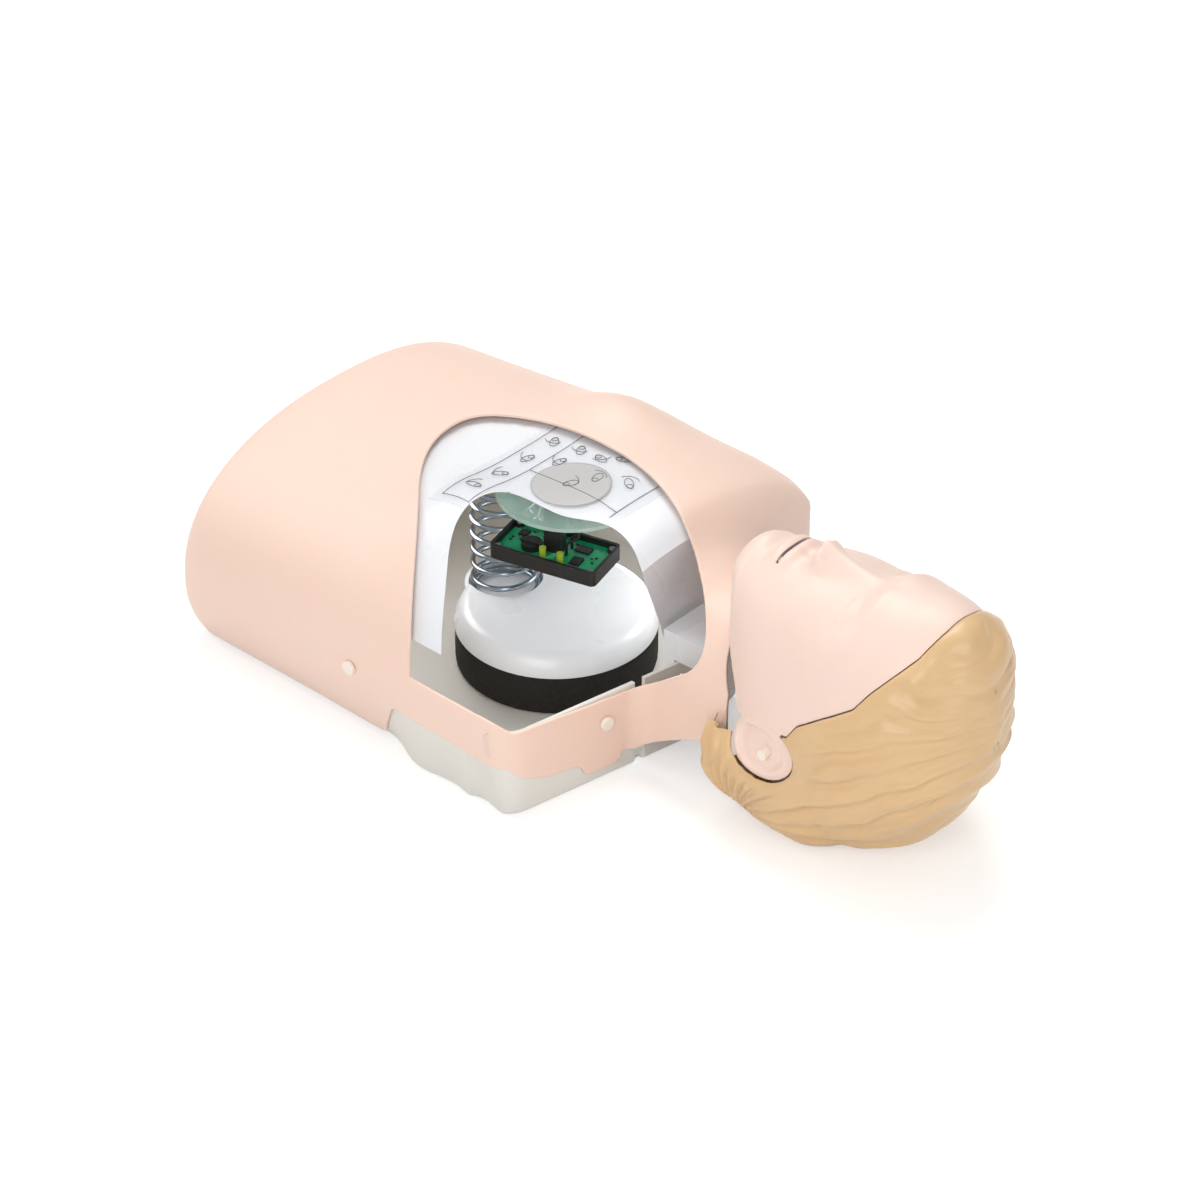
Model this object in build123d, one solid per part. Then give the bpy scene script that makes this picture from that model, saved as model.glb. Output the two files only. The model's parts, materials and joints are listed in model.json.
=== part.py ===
from build123d import *
import os
from math import copysign, cos, exp, hypot, radians, sin

# CPR training manikin: a half torso with a hinged head, lying on its back, with its display cutaway.
# Lengths are millimetres. x runs from the waist end towards the head, y is zero on the middle plane
# with the cutaway on the negative side, and z is up from the floor.

# Torso surface
BODY_LENGTH = 345.0
SHOULDER_RUN = 103.0
HALF_WIDTH = 178.0
CHEST_HEIGHT = 186.0
WIDEST_LEVEL = 66.0
WAIST_LEVEL = 54.0
LEVEL_RUN = 220.0
COLLAR_HALF_WIDTH = 58.0
COLLAR_TOP = 140.0
COLLAR_LEVEL = 84.0
ROUNDNESS = 2.33
WAIST_TUCK = 0.885
FRONT_TUCK = 0.98
TUCK_BEFORE = 24.0
TUCK_RUN = 46.0
FRONT_REACH = 380.0
FRONT_SLOPE = 0.21
CORNER_ROUND = 25.0
COLLAR_FLARE = 16.0
BREAST_X = 215.0
BREAST_Y = 92.0
BREAST_RISE = 17.0
BREAST_SPREAD = 42.0

# Chest skin
SKIN = 1.3
FIT = 0.3
FLAP_LEVEL = 4.0
FLAP_END = 228.0
FLAP_LEAN = 24.0
FLAP_ROUND = 12.0
SIDE_EDGE = 48.0
COLLAR_EDGE = 54.0
COLLAR_BEND = 100.0
COLLAR_LEAN = 20.0
STEP_ROUND = 5.0
END_LIP = 34.0
TAB_WIDTH = 32.0
TAB_LEVEL = 11.0
TAB_Y = 93.0

# Base tray
WALL = 3.0
BASE_FIT = 1.5
FLOOR = 3.0
FOOT_ROUND = 4.0
RIM = 74.0
END_WALL_TOP = 128.0
SLOT_WIDTH = 9.0
SLOT_LENGTH = 40.0
SLOT_Y = 57.0
RIM_FALL = [(60, 124), (150, 84), (250, RIM)]

# Cutaway, square to the display direction
CUT_TURN = 41.4
CUT_TILT = 34.5
CUT_CENTRE = (277.0, -1.0, 76.0)
CUT_SIDE_LIMIT = 60.0
CUT_FLOOR = 70.0
PLATE_CUT_DROP = 90.0

# Buttons that hold the skin
BUTTON_RADIUS = 5.5
BUTTON_HEIGHT = 3.0
BUTTON_GAP = 0.6
SHANK_RADIUS = 2.5
SHANK_FIT = 0.2
SHANK_END = 2.0
SHANK_LENGTH = SKIN + BASE_FIT + WALL + SHANK_END
SIDE_BUTTON_X = 186.0
SIDE_BUTTON_LEVEL = 65.0
FRONT_BUTTON_Y = 90.0
FRONT_BUTTON_LEVEL = 52.0
WAIST_BUTTON_Y = 154.0
WAIST_BUTTON_LEVEL = 80.0

# Foam block and dome
BLOCK_X = 232.0
BLOCK_RADIUS = 78.0
FOAM_HEIGHT = 33.5
FOAM_ROUND = 2.0
DOME_RISE = 17.0
DOME_WALL = 4.0
DOME_SHOULDER = 14.0
DOME_RIM = 6.0
DOME_DRAFT = 3.0
LOBE_SHARE = 0.75
SEAT_GAP = 0.3

# Spring
SPRING_X = 180.0
SPRING_RADIUS = 25.0
SPRING_WIRE = 4.2
SPRING_TURNS = 9.5
POCKET_FLOOR = 4.0
POCKET_FIT = 1.6
LOBE_WALL = 3.0
SPRING_TOP = 164.0
PILOT_GAP = 1.0
PILOT_DEPTH = 8.0

# Chest plate
PLATE_INSET = 7.0
PLATE_WALL = 2.5
PLATE_START = 78.0
PLATE_FRONT = 354.0
PLATE_SIDE_EDGE = 107.0
PLATE_FRONT_EDGE = 76.0
PLATE_TO_WALL = 5.0
PLATE_BEND = 305.0

# Airway bag lying on the plate
BAG_START = 190.0
BAG_END = 318.0
BAG_HALF_WIDTH = 92.0
BAG_THICKNESS = 0.8

# Press sensor under the plate
DISC_X = 248.0
DISC_RADIUS = 57.0
DISC_THICKNESS = 3.0
DISC_TOP = 164.0
PAD_RADIUS = 32.0
NOTCH_GAP = 2.0

# Electronics
TRAY_X = 255.5
TRAY_Y = -27.0
TRAY_TURN = 14.0
TRAY_LENGTH = 88.0
TRAY_WIDTH = 45.0
TRAY_DEPTH = 12.0
TRAY_RIM = 130.0
TRAY_WALL = 2.5
TRAY_CORNER = 4.0
BOSS_RADIUS = 3.6
BOSS_DROP = 3.0
BOSS_MERGE = 1.0
SCREW_RADIUS = 2.6
SCREW_HEIGHT = 1.8
SCREW_SHANK = 1.2
SCREW_DEPTH = 5.0
BOARD_THICKNESS = 1.6
BOARD_LIFT = 3.0
BOARD_GAP = 0.4
BOARD_FOOT = 2.0
HANGER_LENGTH = 14.0
HANGER_WIDTH = 9.0
WIRE_RADIUS = 1.1
WIRE_BEND = 3.0
WIRE_SPOTS = [(11, 6, 7), (11, -3, 9)]
WIRE_LOW = [(0, 0, 10), (1, 2, 16)]
WIRE_HIGH = [(1, 3, 14), (0.14, 4, 8), (0.14, 4, 0)]
CELL_SPOT = (-17.0, -5.0)
CELL_RADIUS = 8.0
CELL_HEIGHT = 5.0
CLIP_WIDTH = 5.0
CLIP_THICKNESS = 1.0
CHIP_HEIGHT = 2.0
CHIPS = [(20, 8, 12, 8), (22, -8, 8, 10), (-30, 8, 7, 7)]
CAN_SPOTS = [(-4, -12), (11, -13)]
CAN_RADIUS = 2.6
CAN_HEIGHT = 8.0

# Head
HEAD_START = 418.0
HEAD_LENGTH = 231.0
HEAD_HALF_WIDTH = 79.0
HEAD_DEPTH = 211.0
HEAD_WALL = 5.0
FACE_WALL = 2.5
FACE_LIP = 28.0
FACE_FAR_X = 300.0
FACE_TOP = 250.0
NOSE_RISE = 17.0
NAPE_LEVEL = 58.0
NAPE_RISE = 40.0
NAPE_ROUNDNESS = 2.6
EAR_X = 494.0
EAR_Z = 86.0
EAR_HEIGHT = 38.0
EAR_WIDTH = 57.0
EAR_DEPTH = 5.0
EAR_ROOT = 5.0
EAR_BORDER = 2.0
BOWL_MARGIN = 8.0
EAR_PEG_RADIUS = 3.6
EAR_PEG_X = 500.0
EAR_PEG_Z = 85.5
EAR_PEG_IN = 6.0
EAR_PEG_OUT = 7.0
PEG_HOLE = 20.0
COLLAR_GAP = 5.0
COLLAR_MARGIN = 8.0
COLLAR_ROUND = 45.0
MOUTH_X = 460.0
MOUTH_WIDTH = 42.0
MOUTH_GAP = 2.4

# Neck joint and jaw
NECK_X = 450.0
NECK_Z = 88.0
NECK_PIN = 5.0
NECK_PIN_LENGTH = 78.0
PIN_FIT = 0.1
PIN_CHAMFER = 0.8
BEAM_WIDTH = 44.0
BEAM_DEPTH = 10.0
BEAM_TO_WALL = 1.5
KNUCKLE_RADIUS = 10.0
TILT = 20.0
AIRWAY_RADIUS = 8.0
AIRWAY_WALL = 1.5
AIRWAY_LEVEL = 112.0
AIRWAY_SHIFT = 4.0
AIRWAY_BEND = 12.0
MOUTHPIECE = 18.0
CUP_LENGTH = 12.0
CUP_WIDTH = 19.0
CUP_WALL = 3.0
YOKE_WALL = 6.0
YOKE_RADIUS = 12.0
YOKE_CORNERS = [(-6, 12), (60, -10), (85, -108), (35, -108), (-8, -12)]
YOKE_WEB = 50.0
WEB_HEIGHT = 85.0
JAW_PIVOT_X = 500.0
JAW_PIVOT_Z = 118.0
JAW_WALL = 3.0
JAW_GAP = 7.5
JAW_PIN = 3.0
JAW_PIN_LENGTH = 12.0

# The origin lies on the floor, under the press point of the chest
ORIGIN_X = 200.0

# Least distance between two sections of one surface
STATION_GAP = 3.0

# Points on half of the torso's arch, between its widest level and its crown
ARCH_STEPS = 8

# Half the size of the helper solids, past any part
REACH = BODY_LENGTH + SHOULDER_RUN

# Where solids that are cut away or cut off end: below the floor and past the collar
BELOW = -20.0
PAST = 20.0

# Share of the body length, of the half width and of the chest height at each station
BODY_STATIONS = [
    (0.0, 0.937, 0.854),
    (0.009, 0.952, 0.873),
    (0.023, 0.961, 0.884),
    (0.046, 0.968, 0.893),
    (0.174, 0.972, 0.914),
    (0.362, 0.978, 0.946),
    (0.551, 0.989, 0.973),
    (0.725, 0.994, 1.0),
    (0.870, 0.997, 1.0),
    (0.957, 1.0, 0.973),
    (1.0, 0.978, 0.946),
]

# Share of the shoulder run, then of the way from collar to chest in width and height, then of the
# way from the chest's widest level to the collar's
SHOULDER_STATIONS = [
    (0.068, 0.875, 0.652, 0.0),
    (0.126, 0.667, 0.522, 0.0),
    (0.184, 0.417, 0.413, 0.11),
    (0.262, 0.233, 0.304, 0.22),
    (0.379, 0.108, 0.196, 0.44),
    (0.534, 0.038, 0.087, 0.67),
    (0.728, 0.004, 0.020, 0.89),
    (0.864, 0.001, 0.005, 0.96),
    (1.0, 0.0, 0.0, 1.0),
]

# Lower edge of the chest skin from the side to the collar, in x and z
FRONT_EDGE = [(340, 43.5), (346, 33), (350, 26), (358, 21.5), (368, 18), (384, 28), (410, 44)]

# Outline of the skin window, right and up from the cut's centre
WINDOW_CURVE = [
    (-139, -57), (-137, 0), (-134, 67), (-127, 116), (-104, 137), (-66, 140),
    (-7, 122), (25, 103), (55, 70), (72, 25), (76, -12), (66, -50), (45, -59), (25, -65),
]
WINDOW_CORNER = (-62, -97)
WINDOW_ROUND = 10.0

# Outline of the chest plate's cut-out, in the same directions
PLATE_CURVE = [
    (-115, -60), (-114, -20), (-111, 20), (-106, 52), (-94, 71), (-76, 79),
    (-56, 75), (-26, 61), (6, 54), (20, 43), (33, 12), (43, -15), (50, -40), (54, -60),
]

# Head sections: share of its length, then front and back level as shares of its depth, then half
# width as a share of the widest, then the widest level as a share of its depth
HEAD_STATIONS = [
    (0.0, 0.885, 0.800, 0.16, 0.845),
    (0.026, 0.922, 0.765, 0.32, 0.835),
    (0.061, 0.945, 0.735, 0.45, 0.810),
    (0.082, 0.950, 0.560, 0.54, 0.735),
    (0.104, 0.955, 0.300, 0.62, 0.620),
    (0.130, 0.960, 0.165, 0.69, 0.560),
    (0.160, 0.964, 0.095, 0.75, 0.530),
    (0.190, 0.966, 0.065, 0.80, 0.515),
    (0.225, 0.966, 0.040, 0.845, 0.505),
    (0.260, 0.966, 0.026, 0.875, 0.495),
    (0.285, 0.966, 0.018, 0.895, 0.490),
    (0.310, 0.967, 0.012, 0.91, 0.485),
    (0.350, 0.970, 0.006, 0.93, 0.475),
    (0.405, 0.975, 0.002, 0.955, 0.465),
    (0.460, 0.982, 0.000, 0.975, 0.460),
    (0.515, 0.992, 0.000, 0.990, 0.458),
    (0.568, 1.0, 0.009, 0.991, 0.459),
    (0.640, 1.008, 0.040, 0.942, 0.469),
    (0.721, 1.010, 0.092, 0.856, 0.492),
    (0.793, 0.998, 0.163, 0.752, 0.522),
    (0.853, 0.960, 0.250, 0.620, 0.559),
    (0.897, 0.905, 0.340, 0.480, 0.595),
    (0.927, 0.832, 0.438, 0.324, 0.631),
    (0.950, 0.748, 0.555, 0.144, 0.653),
]
FRONT_SHARES = [0.0, 0.09, 0.18, 0.28, 0.40, 0.54, 0.68, 0.81, 0.91, 0.975]
BACK_ANGLES = [90, 76, 61, 46, 31, 16]

# Nape of the hair shell round the neck opening: x, half width and lowest level of each section
NAPE_STATIONS = [
    (437, 66.5, 36),
    (441, 70.5, 29),
    (448, 73.5, 20),
    (460, 76, 10),
    (480, 76, 4),
    (505, 75, 1),
    (535, 66, 0),
    (565, 40, 10),
]

# Line between face skin and hair, seen from the side, from the forehead to the jaw
HAIRLINE = [
    (606, FACE_TOP), (606, 207), (600, 193), (577, 165), (568, 151), (547, 137), (526, 121),
    (517, 107),
]
JAWLINE = [(473, 98), (457, 96.5), (440, 92), (428, 88), (428, BELOW)]

# Side view of the hidden jaw
JAW_OUTLINE = [
    (400, 215), (445, 215), (454, 170), (498, 132), (511, 124), (511, 112), (496, 106),
    (462, 124), (436, 150), (400, 160),
]

# Gap below the jaw, where the neck shows
NECK_GAP = [(425, 78), (450, 81), (463, 83), (469, 92), (473, 98), (457, 96.5), (440, 92), (425, 90)]


def eased(share):
    """Smooth step from 0 to 1."""
    share = min(max(share, 0.0), 1.0)
    return share * share * (3 - 2 * share)


def widest_level(x):
    return WAIST_LEVEL + (WIDEST_LEVEL - WAIST_LEVEL) * eased(x / LEVEL_RUN)


def tuck(x):
    """Share of the half width that is left at floor level: small under the flap, nearly all ahead."""
    share = eased((x - FLAP_END + TUCK_BEFORE) / TUCK_RUN)
    return WAIST_TUCK + (FRONT_TUCK - WAIST_TUCK) * share


def between(rows, x):
    """Row at x, on the straight line between its neighbours."""
    after = next(k for k, row in enumerate(rows) if row[0] > x)
    low, high = rows[after - 1], rows[after]
    share = (x - low[0]) / (high[0] - low[0])
    return tuple(a + share * (b - a) for a, b in zip(low, high))


def station_list():
    """Torso stations as x, half width, crown height and widest level."""
    rows = []
    for along, wide, high in BODY_STATIONS:
        x = along * BODY_LENGTH
        rows.append((x, wide * HALF_WIDTH, high * CHEST_HEIGHT, widest_level(x)))
    start = FLAP_END - TUCK_BEFORE
    places = [start + share * TUCK_RUN for share in (0, 0.25, 0.5, 0.75, 1)]
    extra = [between(rows, x) for x in places]
    apart = [row for row in rows if min(abs(row[0] - x) for x in places) > STATION_GAP]
    rows = sorted(apart + extra)
    for along, wide, high, level in SHOULDER_STATIONS:
        x = BODY_LENGTH + along * SHOULDER_RUN
        half = COLLAR_HALF_WIDTH + wide * (HALF_WIDTH - COLLAR_HALF_WIDTH)
        crown = COLLAR_TOP + high * (CHEST_HEIGHT - COLLAR_TOP)
        rows.append((x, half, crown, WIDEST_LEVEL + level * (COLLAR_LEVEL - WIDEST_LEVEL)))
    return rows


def inset_rows(rows, inset, widest):
    """Move each station inwards along the normal of the outline seen from above."""
    moved = []
    for k, row in enumerate(rows):
        before = rows[max(k - 1, 0)]
        after = rows[min(k + 1, len(rows) - 1)]
        run = after[0] - before[0]
        gain = after[widest] - before[widest]
        along = gain / hypot(run, gain)
        across = run / hypot(run, gain)
        moved.append((along * inset, across * inset))
    moved[0] = (inset, 0.0)
    return moved


def breast(x, y):
    """Rise of the chest surface over the two breast muscles."""
    across = (abs(y) - BREAST_Y) / BREAST_SPREAD
    along = (x - BREAST_X) / BREAST_SPREAD
    return BREAST_RISE * exp(-along * along - across * across)


def torso_section(x, half, crown, level, low):
    """Points of one torso section, from the lower edge over the crown to the other edge."""
    side = []
    for share in (1.0, 0.75, 0.5, 0.25):
        z = level - (level - low) * share
        inwards = (1 - tuck(x)) * ((level - z) / level) ** 2
        side.append((half * (1 - inwards), z))
    arch = []
    steps = ARCH_STEPS
    for k in range(steps + 1):
        turn = radians(90 * k / steps)
        y = half * cos(turn) ** (2 / ROUNDNESS)
        rise = abs(sin(turn)) ** (2 / ROUNDNESS)
        z = level + (crown - level) * rise + breast(x, y) * sin(turn) ** 0.5
        arch.append((y, z))
    near = [Vector(x, -y, z) for y, z in side + arch[:-1]]
    far = [Vector(x, y, z) for y, z in reversed(side + arch[:-1])]
    return near + [Vector(x, 0, arch[-1][1])] + far


def chord_shares(points):
    """Running length along the points, from 0 to 1."""
    total = [0.0]
    for a, b in zip(points, points[1:]):
        total.append(total[-1] + (b - a).length)
    return [value / total[-1] for value in total]


def torso(inset, low, beyond=0.0):
    """Solid torso, set in by a wall, down to the level low and past the collar by beyond."""
    rows = station_list()
    if beyond:
        end = rows[-1]
        rows += [(end[0] + share * beyond,) + end[1:] for share in (0.5, 1.0)]
    shifts = inset_rows(rows, inset, 1)
    if inset:
        rows[0] = between(rows, inset)
        shifts[0] = (0.0, inset)
    shares = None
    wires = []
    reached = -REACH
    for (x, half, crown, level), (shift_x, shift_y) in zip(rows, shifts):
        x = x + shift_x
        if x < reached + STATION_GAP:
            continue
        reached = x
        points = torso_section(x, half - shift_y, crown - shift_y, level, low)
        if shares is None:
            shares = chord_shares(points)
        arch = Edge.make_spline(points, parameters=shares)
        wires.append(Wire([arch, Edge.make_line(points[-1], points[0])]))
    return Solid.make_loft(wires)


def through(face):
    """Prism along y through the whole width, from a face in x and z."""
    return extrude(Plane.XZ * face, amount=REACH, both=True)


def side_prism(points):
    """Prism along y with an outline in x and z."""
    return through(make_face(Polyline(*points, close=True)))


def before(x):
    """Everything with a smaller x."""
    return Pos(x - REACH, 0, 0) * Box(2 * REACH, 2 * REACH, 2 * REACH)


def post(radius, height):
    """Cylinder standing on its own origin."""
    return Cylinder(radius, height, align=(Align.CENTER, Align.CENTER, Align.MIN))


def hung(radius, depth):
    """Cylinder hanging from its own origin."""
    return Cylinder(radius, depth, align=(Align.CENTER, Align.CENTER, Align.MAX))


def above(level):
    """Everything higher than a level."""
    return Pos(0, 0, level) * standing_box(4 * REACH, 2 * REACH, REACH)


def standing_box(length, width, height):
    return Box(length, width, height, align=(Align.CENTER, Align.CENTER, Align.MIN))


def front_prism(inset):
    """Everything behind the two straight shoulder lines, with rounded corners at the sides."""
    reach = FRONT_REACH - inset
    wide = HALF_WIDTH - inset
    corner = reach - FRONT_SLOPE * wide
    outline = Polyline((-REACH, -wide), (corner, -wide), (reach, 0), (corner, wide), (-REACH, wide),
                       close=True)
    face = make_face(outline)
    corners = [point for point in face.vertices() if abs(point.X - corner) < 1]
    face = fillet(corners, CORNER_ROUND - inset)
    return extrude(face, amount=REACH, both=True)


def skin_prism(inset):
    """The same, with the way out for the collar."""
    wide = COLLAR_HALF_WIDTH + FIT - inset
    bend = FRONT_REACH - inset - FRONT_SLOPE * wide
    collar = make_face(Polyline((0, -wide), (2 * REACH, -wide), (2 * REACH, wide), (0, wide), close=True))
    front = front_prism(inset)
    way_out = extrude(collar, amount=REACH, both=True)
    body = front + way_out
    inner_edges = [edge for edge in body.edges().filter_by(Axis.Z)
                   if abs(edge.center().X - bend) < 1 and abs(abs(edge.center().Y) - wide) < 1]
    return fillet(inner_edges, COLLAR_FLARE + inset)


def cut_plane():
    """Plane square to the display direction."""
    turn = radians(CUT_TURN)
    tilt = radians(CUT_TILT)
    towards = (sin(turn) * cos(tilt), -cos(turn) * cos(tilt), sin(tilt))
    return Plane(origin=CUT_CENTRE, x_dir=(cos(turn), sin(turn), 0), z_dir=towards)


def cut_prism(outline):
    """Prism of an outline along the display direction, on the cutaway side only."""
    prism = extrude(cut_plane() * outline, amount=REACH, both=True)
    side = Pos(0, CUT_SIDE_LIMIT - REACH, REACH - CUT_FLOOR) * Box(4 * REACH, 2 * REACH, 2 * REACH)
    return prism & side


def window_outline():
    curve = Spline(*WINDOW_CURVE)
    edge = FilletPolyline(WINDOW_CURVE[-1], WINDOW_CORNER, WINDOW_CURVE[0], radius=WINDOW_ROUND)
    return make_face([curve, edge])


def plate_outline():
    curve = Spline(*PLATE_CURVE)
    end, start = PLATE_CURVE[-1], PLATE_CURVE[0]
    return make_face([curve, Polyline(end, (end[0], end[1] - PLATE_CUT_DROP),
                                      (start[0], start[1] - PLATE_CUT_DROP), start)])


def surface_point(outer, start, way):
    """First point of the torso's surface met from start, going along way."""
    hits = outer.find_intersection_points(Axis(start, way))
    return min((hit[0] for hit in hits), key=lambda point: (point - Vector(start)).length)


def button_places(outer):
    """Position on the skin, outward direction and shank length, for the negative y side."""
    side = surface_point(outer, (SIDE_BUTTON_X, -REACH, SIDE_BUTTON_LEVEL), (0, 1, 0))
    front = surface_point(outer, (2 * REACH, -FRONT_BUTTON_Y, FRONT_BUTTON_LEVEL), (-1, 0, 0))
    waist = surface_point(outer, (-REACH, -WAIST_BUTTON_Y, WAIST_BUTTON_LEVEL), (1, 0, 0))
    across = Vector(FRONT_SLOPE, 1, 0).normalized()
    return [
        (side, Vector(0, -1, 0)),
        (front, Vector(across.Y, -across.X, 0)),
        (waist, Vector(-1, 0, 0)),
    ]


def button_cylinders(places, radius, top, depth):
    """Cylinders along each button's axis, from top outside the skin and depth long."""
    solids = []
    for spot, out in places:
        for side in (1, -1):
            way = Vector(out.X, side * out.Y, out.Z)
            start = Vector(spot.X, side * spot.Y, spot.Z) + way * top
            solids.append(extrude(Plane(origin=start, z_dir=way * -1) * Circle(radius), amount=depth))
    return solids


def lower_edge_cut():
    """What the skin leaves free below its edge, from the waist to the collar."""
    collar = BODY_LENGTH + SHOULDER_RUN
    foot = (FLAP_END - FLAP_LEAN, FLAP_LEVEL)
    step = (FLAP_END, SIDE_EDGE)
    points = [
        (-REACH, FLAP_LEVEL), foot, step, *FRONT_EDGE, (collar, COLLAR_EDGE), (collar, COLLAR_BEND),
        (collar - COLLAR_LEAN, COLLAR_TOP + SKIN), (2 * REACH, COLLAR_TOP + SKIN), (2 * REACH, -REACH),
        (-REACH, -REACH),
    ]
    face = make_face(Polyline(*points, close=True))
    face = fillet(face.vertices().sort_by_distance((*step, 0))[:1], STEP_ROUND)
    return through(fillet(face.vertices().sort_by_distance((*foot, 0))[:1], FLAP_ROUND))


def waist_opening():
    """Opening of the skin's end wall, a lip's width inside the outline."""
    rows = station_list()
    x, half, crown, level = rows[0]
    points = torso_section(x - SKIN, half - END_LIP, crown - END_LIP, level, BELOW)
    arch = Edge.make_spline(points, parameters=chord_shares(points))
    face = Face(Wire([arch, Edge.make_line(points[-1], points[0])]))
    return extrude(face, amount=3 * SKIN, dir=(1, 0, 0))


def make_skin(outer, places):
    inner = torso(SKIN, BELOW, beyond=PAST) & skin_prism(SKIN)
    below = lower_edge_cut()
    for side in (1, -1):
        tab = Pos(FRONT_REACH, side * TAB_Y, TAB_LEVEL) * standing_box(2 * TAB_Y, TAB_WIDTH, SIDE_EDGE)
        below = below - tab
    skin = outer - inner - below - waist_opening() - cut_prism(window_outline())
    for shank in button_cylinders(places, SHANK_RADIUS + SHANK_FIT, SKIN, 3 * SKIN):
        skin = skin - shank
    return skin


def rim_profile():
    """Side view of the base below its rim: high at the waist, low beside the cutaway."""
    front = FRONT_REACH + PAST
    start = -PAST
    edge = Spline((start, END_WALL_TOP), *RIM_FALL, tangents=[(1, 0), (1, 0)])
    sides = Polyline(RIM_FALL[-1], (front, RIM), (front, BELOW), (start, BELOW), (start, END_WALL_TOP))
    return through(make_face([edge, sides]))


def footed(solid):
    """Solid cut off at the floor, with its lower edge rounded."""
    solid = solid & above(0)
    underside = solid.faces().sort_by(Axis.Z)[0]
    return fillet(underside.edges(), FOOT_ROUND)


def make_base(places):
    depth = SKIN + BASE_FIT
    outer = footed(torso(depth, BELOW)) & footed(front_prism(depth))
    inner = torso(depth + WALL, BELOW) & front_prism(depth + WALL) & above(FLOOR)
    base = (outer - inner) & rim_profile()
    slot = Box(SLOT_LENGTH, SLOT_WIDTH, 4 * RIM)
    for side in (1, -1):
        base = base - Pos(FRONT_REACH, side * SLOT_Y, 0) * slot
    for shank in button_cylinders(places, SHANK_RADIUS + SHANK_FIT, SKIN, SHANK_LENGTH + SKIN):
        base = base - shank
    return base


def make_buttons(places):
    heads = button_cylinders(places, BUTTON_RADIUS, BUTTON_GAP + BUTTON_HEIGHT, BUTTON_HEIGHT)
    shanks = button_cylinders(places, SHANK_RADIUS, BUTTON_GAP, BUTTON_GAP + SHANK_LENGTH)
    return Compound([fillet_top(cap) + shank for cap, shank in zip(heads, shanks)])


def fillet_top(cap):
    """Round the outer edge of a button."""
    rims = cap.edges().filter_by(GeomType.CIRCLE)
    middle = Vector(BODY_LENGTH / 2, 0, rims[0].center().Z)
    outer_rim = max(rims, key=lambda rim: (rim.center() - middle).length)
    return fillet([outer_rim], BUTTON_HEIGHT / 3)


def make_foam():
    body = post(BLOCK_RADIUS, FOAM_HEIGHT)
    body = fillet(body.edges().filter_by(GeomType.CIRCLE), FOAM_ROUND)
    return Pos(BLOCK_X, 0, FLOOR + SEAT_GAP) * body


def dome_foot():
    return FLOOR + SEAT_GAP + FOAM_HEIGHT + SEAT_GAP


def pocket_level():
    return dome_foot() + POCKET_FLOOR


def make_dome():
    foot = dome_foot()
    flat = BLOCK_RADIUS - DOME_SHOULDER
    side = Spline((BLOCK_RADIUS, 0), (BLOCK_RADIUS - DOME_DRAFT, DOME_RISE * 0.6), (flat, DOME_RISE),
                  tangents=[(0, 1), (-1, 0)])
    profile = side + Polyline((flat, DOME_RISE), (0, DOME_RISE), (0, 0), (BLOCK_RADIUS, 0))
    dome = Pos(BLOCK_X, 0, foot) * revolve(Plane.XZ * make_face(profile), Axis.Z)
    lobe_radius = SPRING_RADIUS + SPRING_WIRE / 2 + POCKET_FIT + LOBE_WALL
    dome = dome + Pos(SPRING_X, 0, foot) * post(lobe_radius, DOME_RISE * LOBE_SHARE)
    pocket = post(lobe_radius - LOBE_WALL, DOME_RISE + 1)
    hollow = Pos(BLOCK_X, 0, foot) * post(flat - DOME_RIM, DOME_RISE - DOME_WALL)
    hollow = hollow - Pos(SPRING_X, 0, foot) * post(lobe_radius, DOME_RISE)
    return dome - hollow - Pos(SPRING_X, 0, pocket_level()) * pocket


def make_spring():
    bottom = pocket_level() + SEAT_GAP + SPRING_WIRE / 2
    height = SPRING_TOP - SEAT_GAP - SPRING_WIRE / 2 - bottom
    path = Helix(pitch=height / SPRING_TURNS, height=height, radius=SPRING_RADIUS)
    start = Plane(origin=path @ 0, z_dir=path % 0)
    coil = sweep(start * Circle(SPRING_WIRE / 2), path=path)
    return Pos(SPRING_X, 0, bottom) * coil


def under_plate():
    """Space below the chest plate's inner face."""
    return torso(PLATE_INSET + PLATE_WALL + SEAT_GAP, 0)


def make_spring_seat(below):
    cup = post(SPRING_RADIUS + SPRING_WIRE / 2 + PILOT_GAP, REACH)
    pilot = hung(SPRING_RADIUS - SPRING_WIRE / 2 - PILOT_GAP, PILOT_DEPTH)
    seat = (Pos(SPRING_X, 0, SPRING_TOP) * cup) & below
    return seat + Pos(SPRING_X, 0, SPRING_TOP) * pilot


def plate_body(inset, extra):
    """Solid below the plate's face, kept clear of the base's front wall."""
    body = torso(inset, 0) & front_prism(SKIN + BASE_FIT + WALL + PLATE_TO_WALL + extra)
    return body & before(PLATE_FRONT - extra)


def make_plate():
    shell = plate_body(PLATE_INSET, 0) - plate_body(PLATE_INSET + PLATE_WALL, PLATE_WALL)
    lower = side_prism([
        (0, BELOW), (0, PLATE_SIDE_EDGE), (PLATE_BEND, PLATE_SIDE_EDGE),
        (PLATE_FRONT + PAST, PLATE_FRONT_EDGE), (PLATE_FRONT + PAST, BELOW),
    ])
    return shell - lower - before(PLATE_START) - cut_prism(plate_outline())


def make_bag():
    under = PLATE_INSET - SEAT_GAP
    sheet = torso(under - BAG_THICKNESS, 0) - torso(under, BELOW, beyond=PAST)
    length = BAG_END - BAG_START
    area = Pos(BAG_START + length / 2, 0, DISC_TOP / 2) * standing_box(length, 2 * BAG_HALF_WIDTH, REACH)
    return (sheet & area) - cut_prism(plate_outline())


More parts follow.
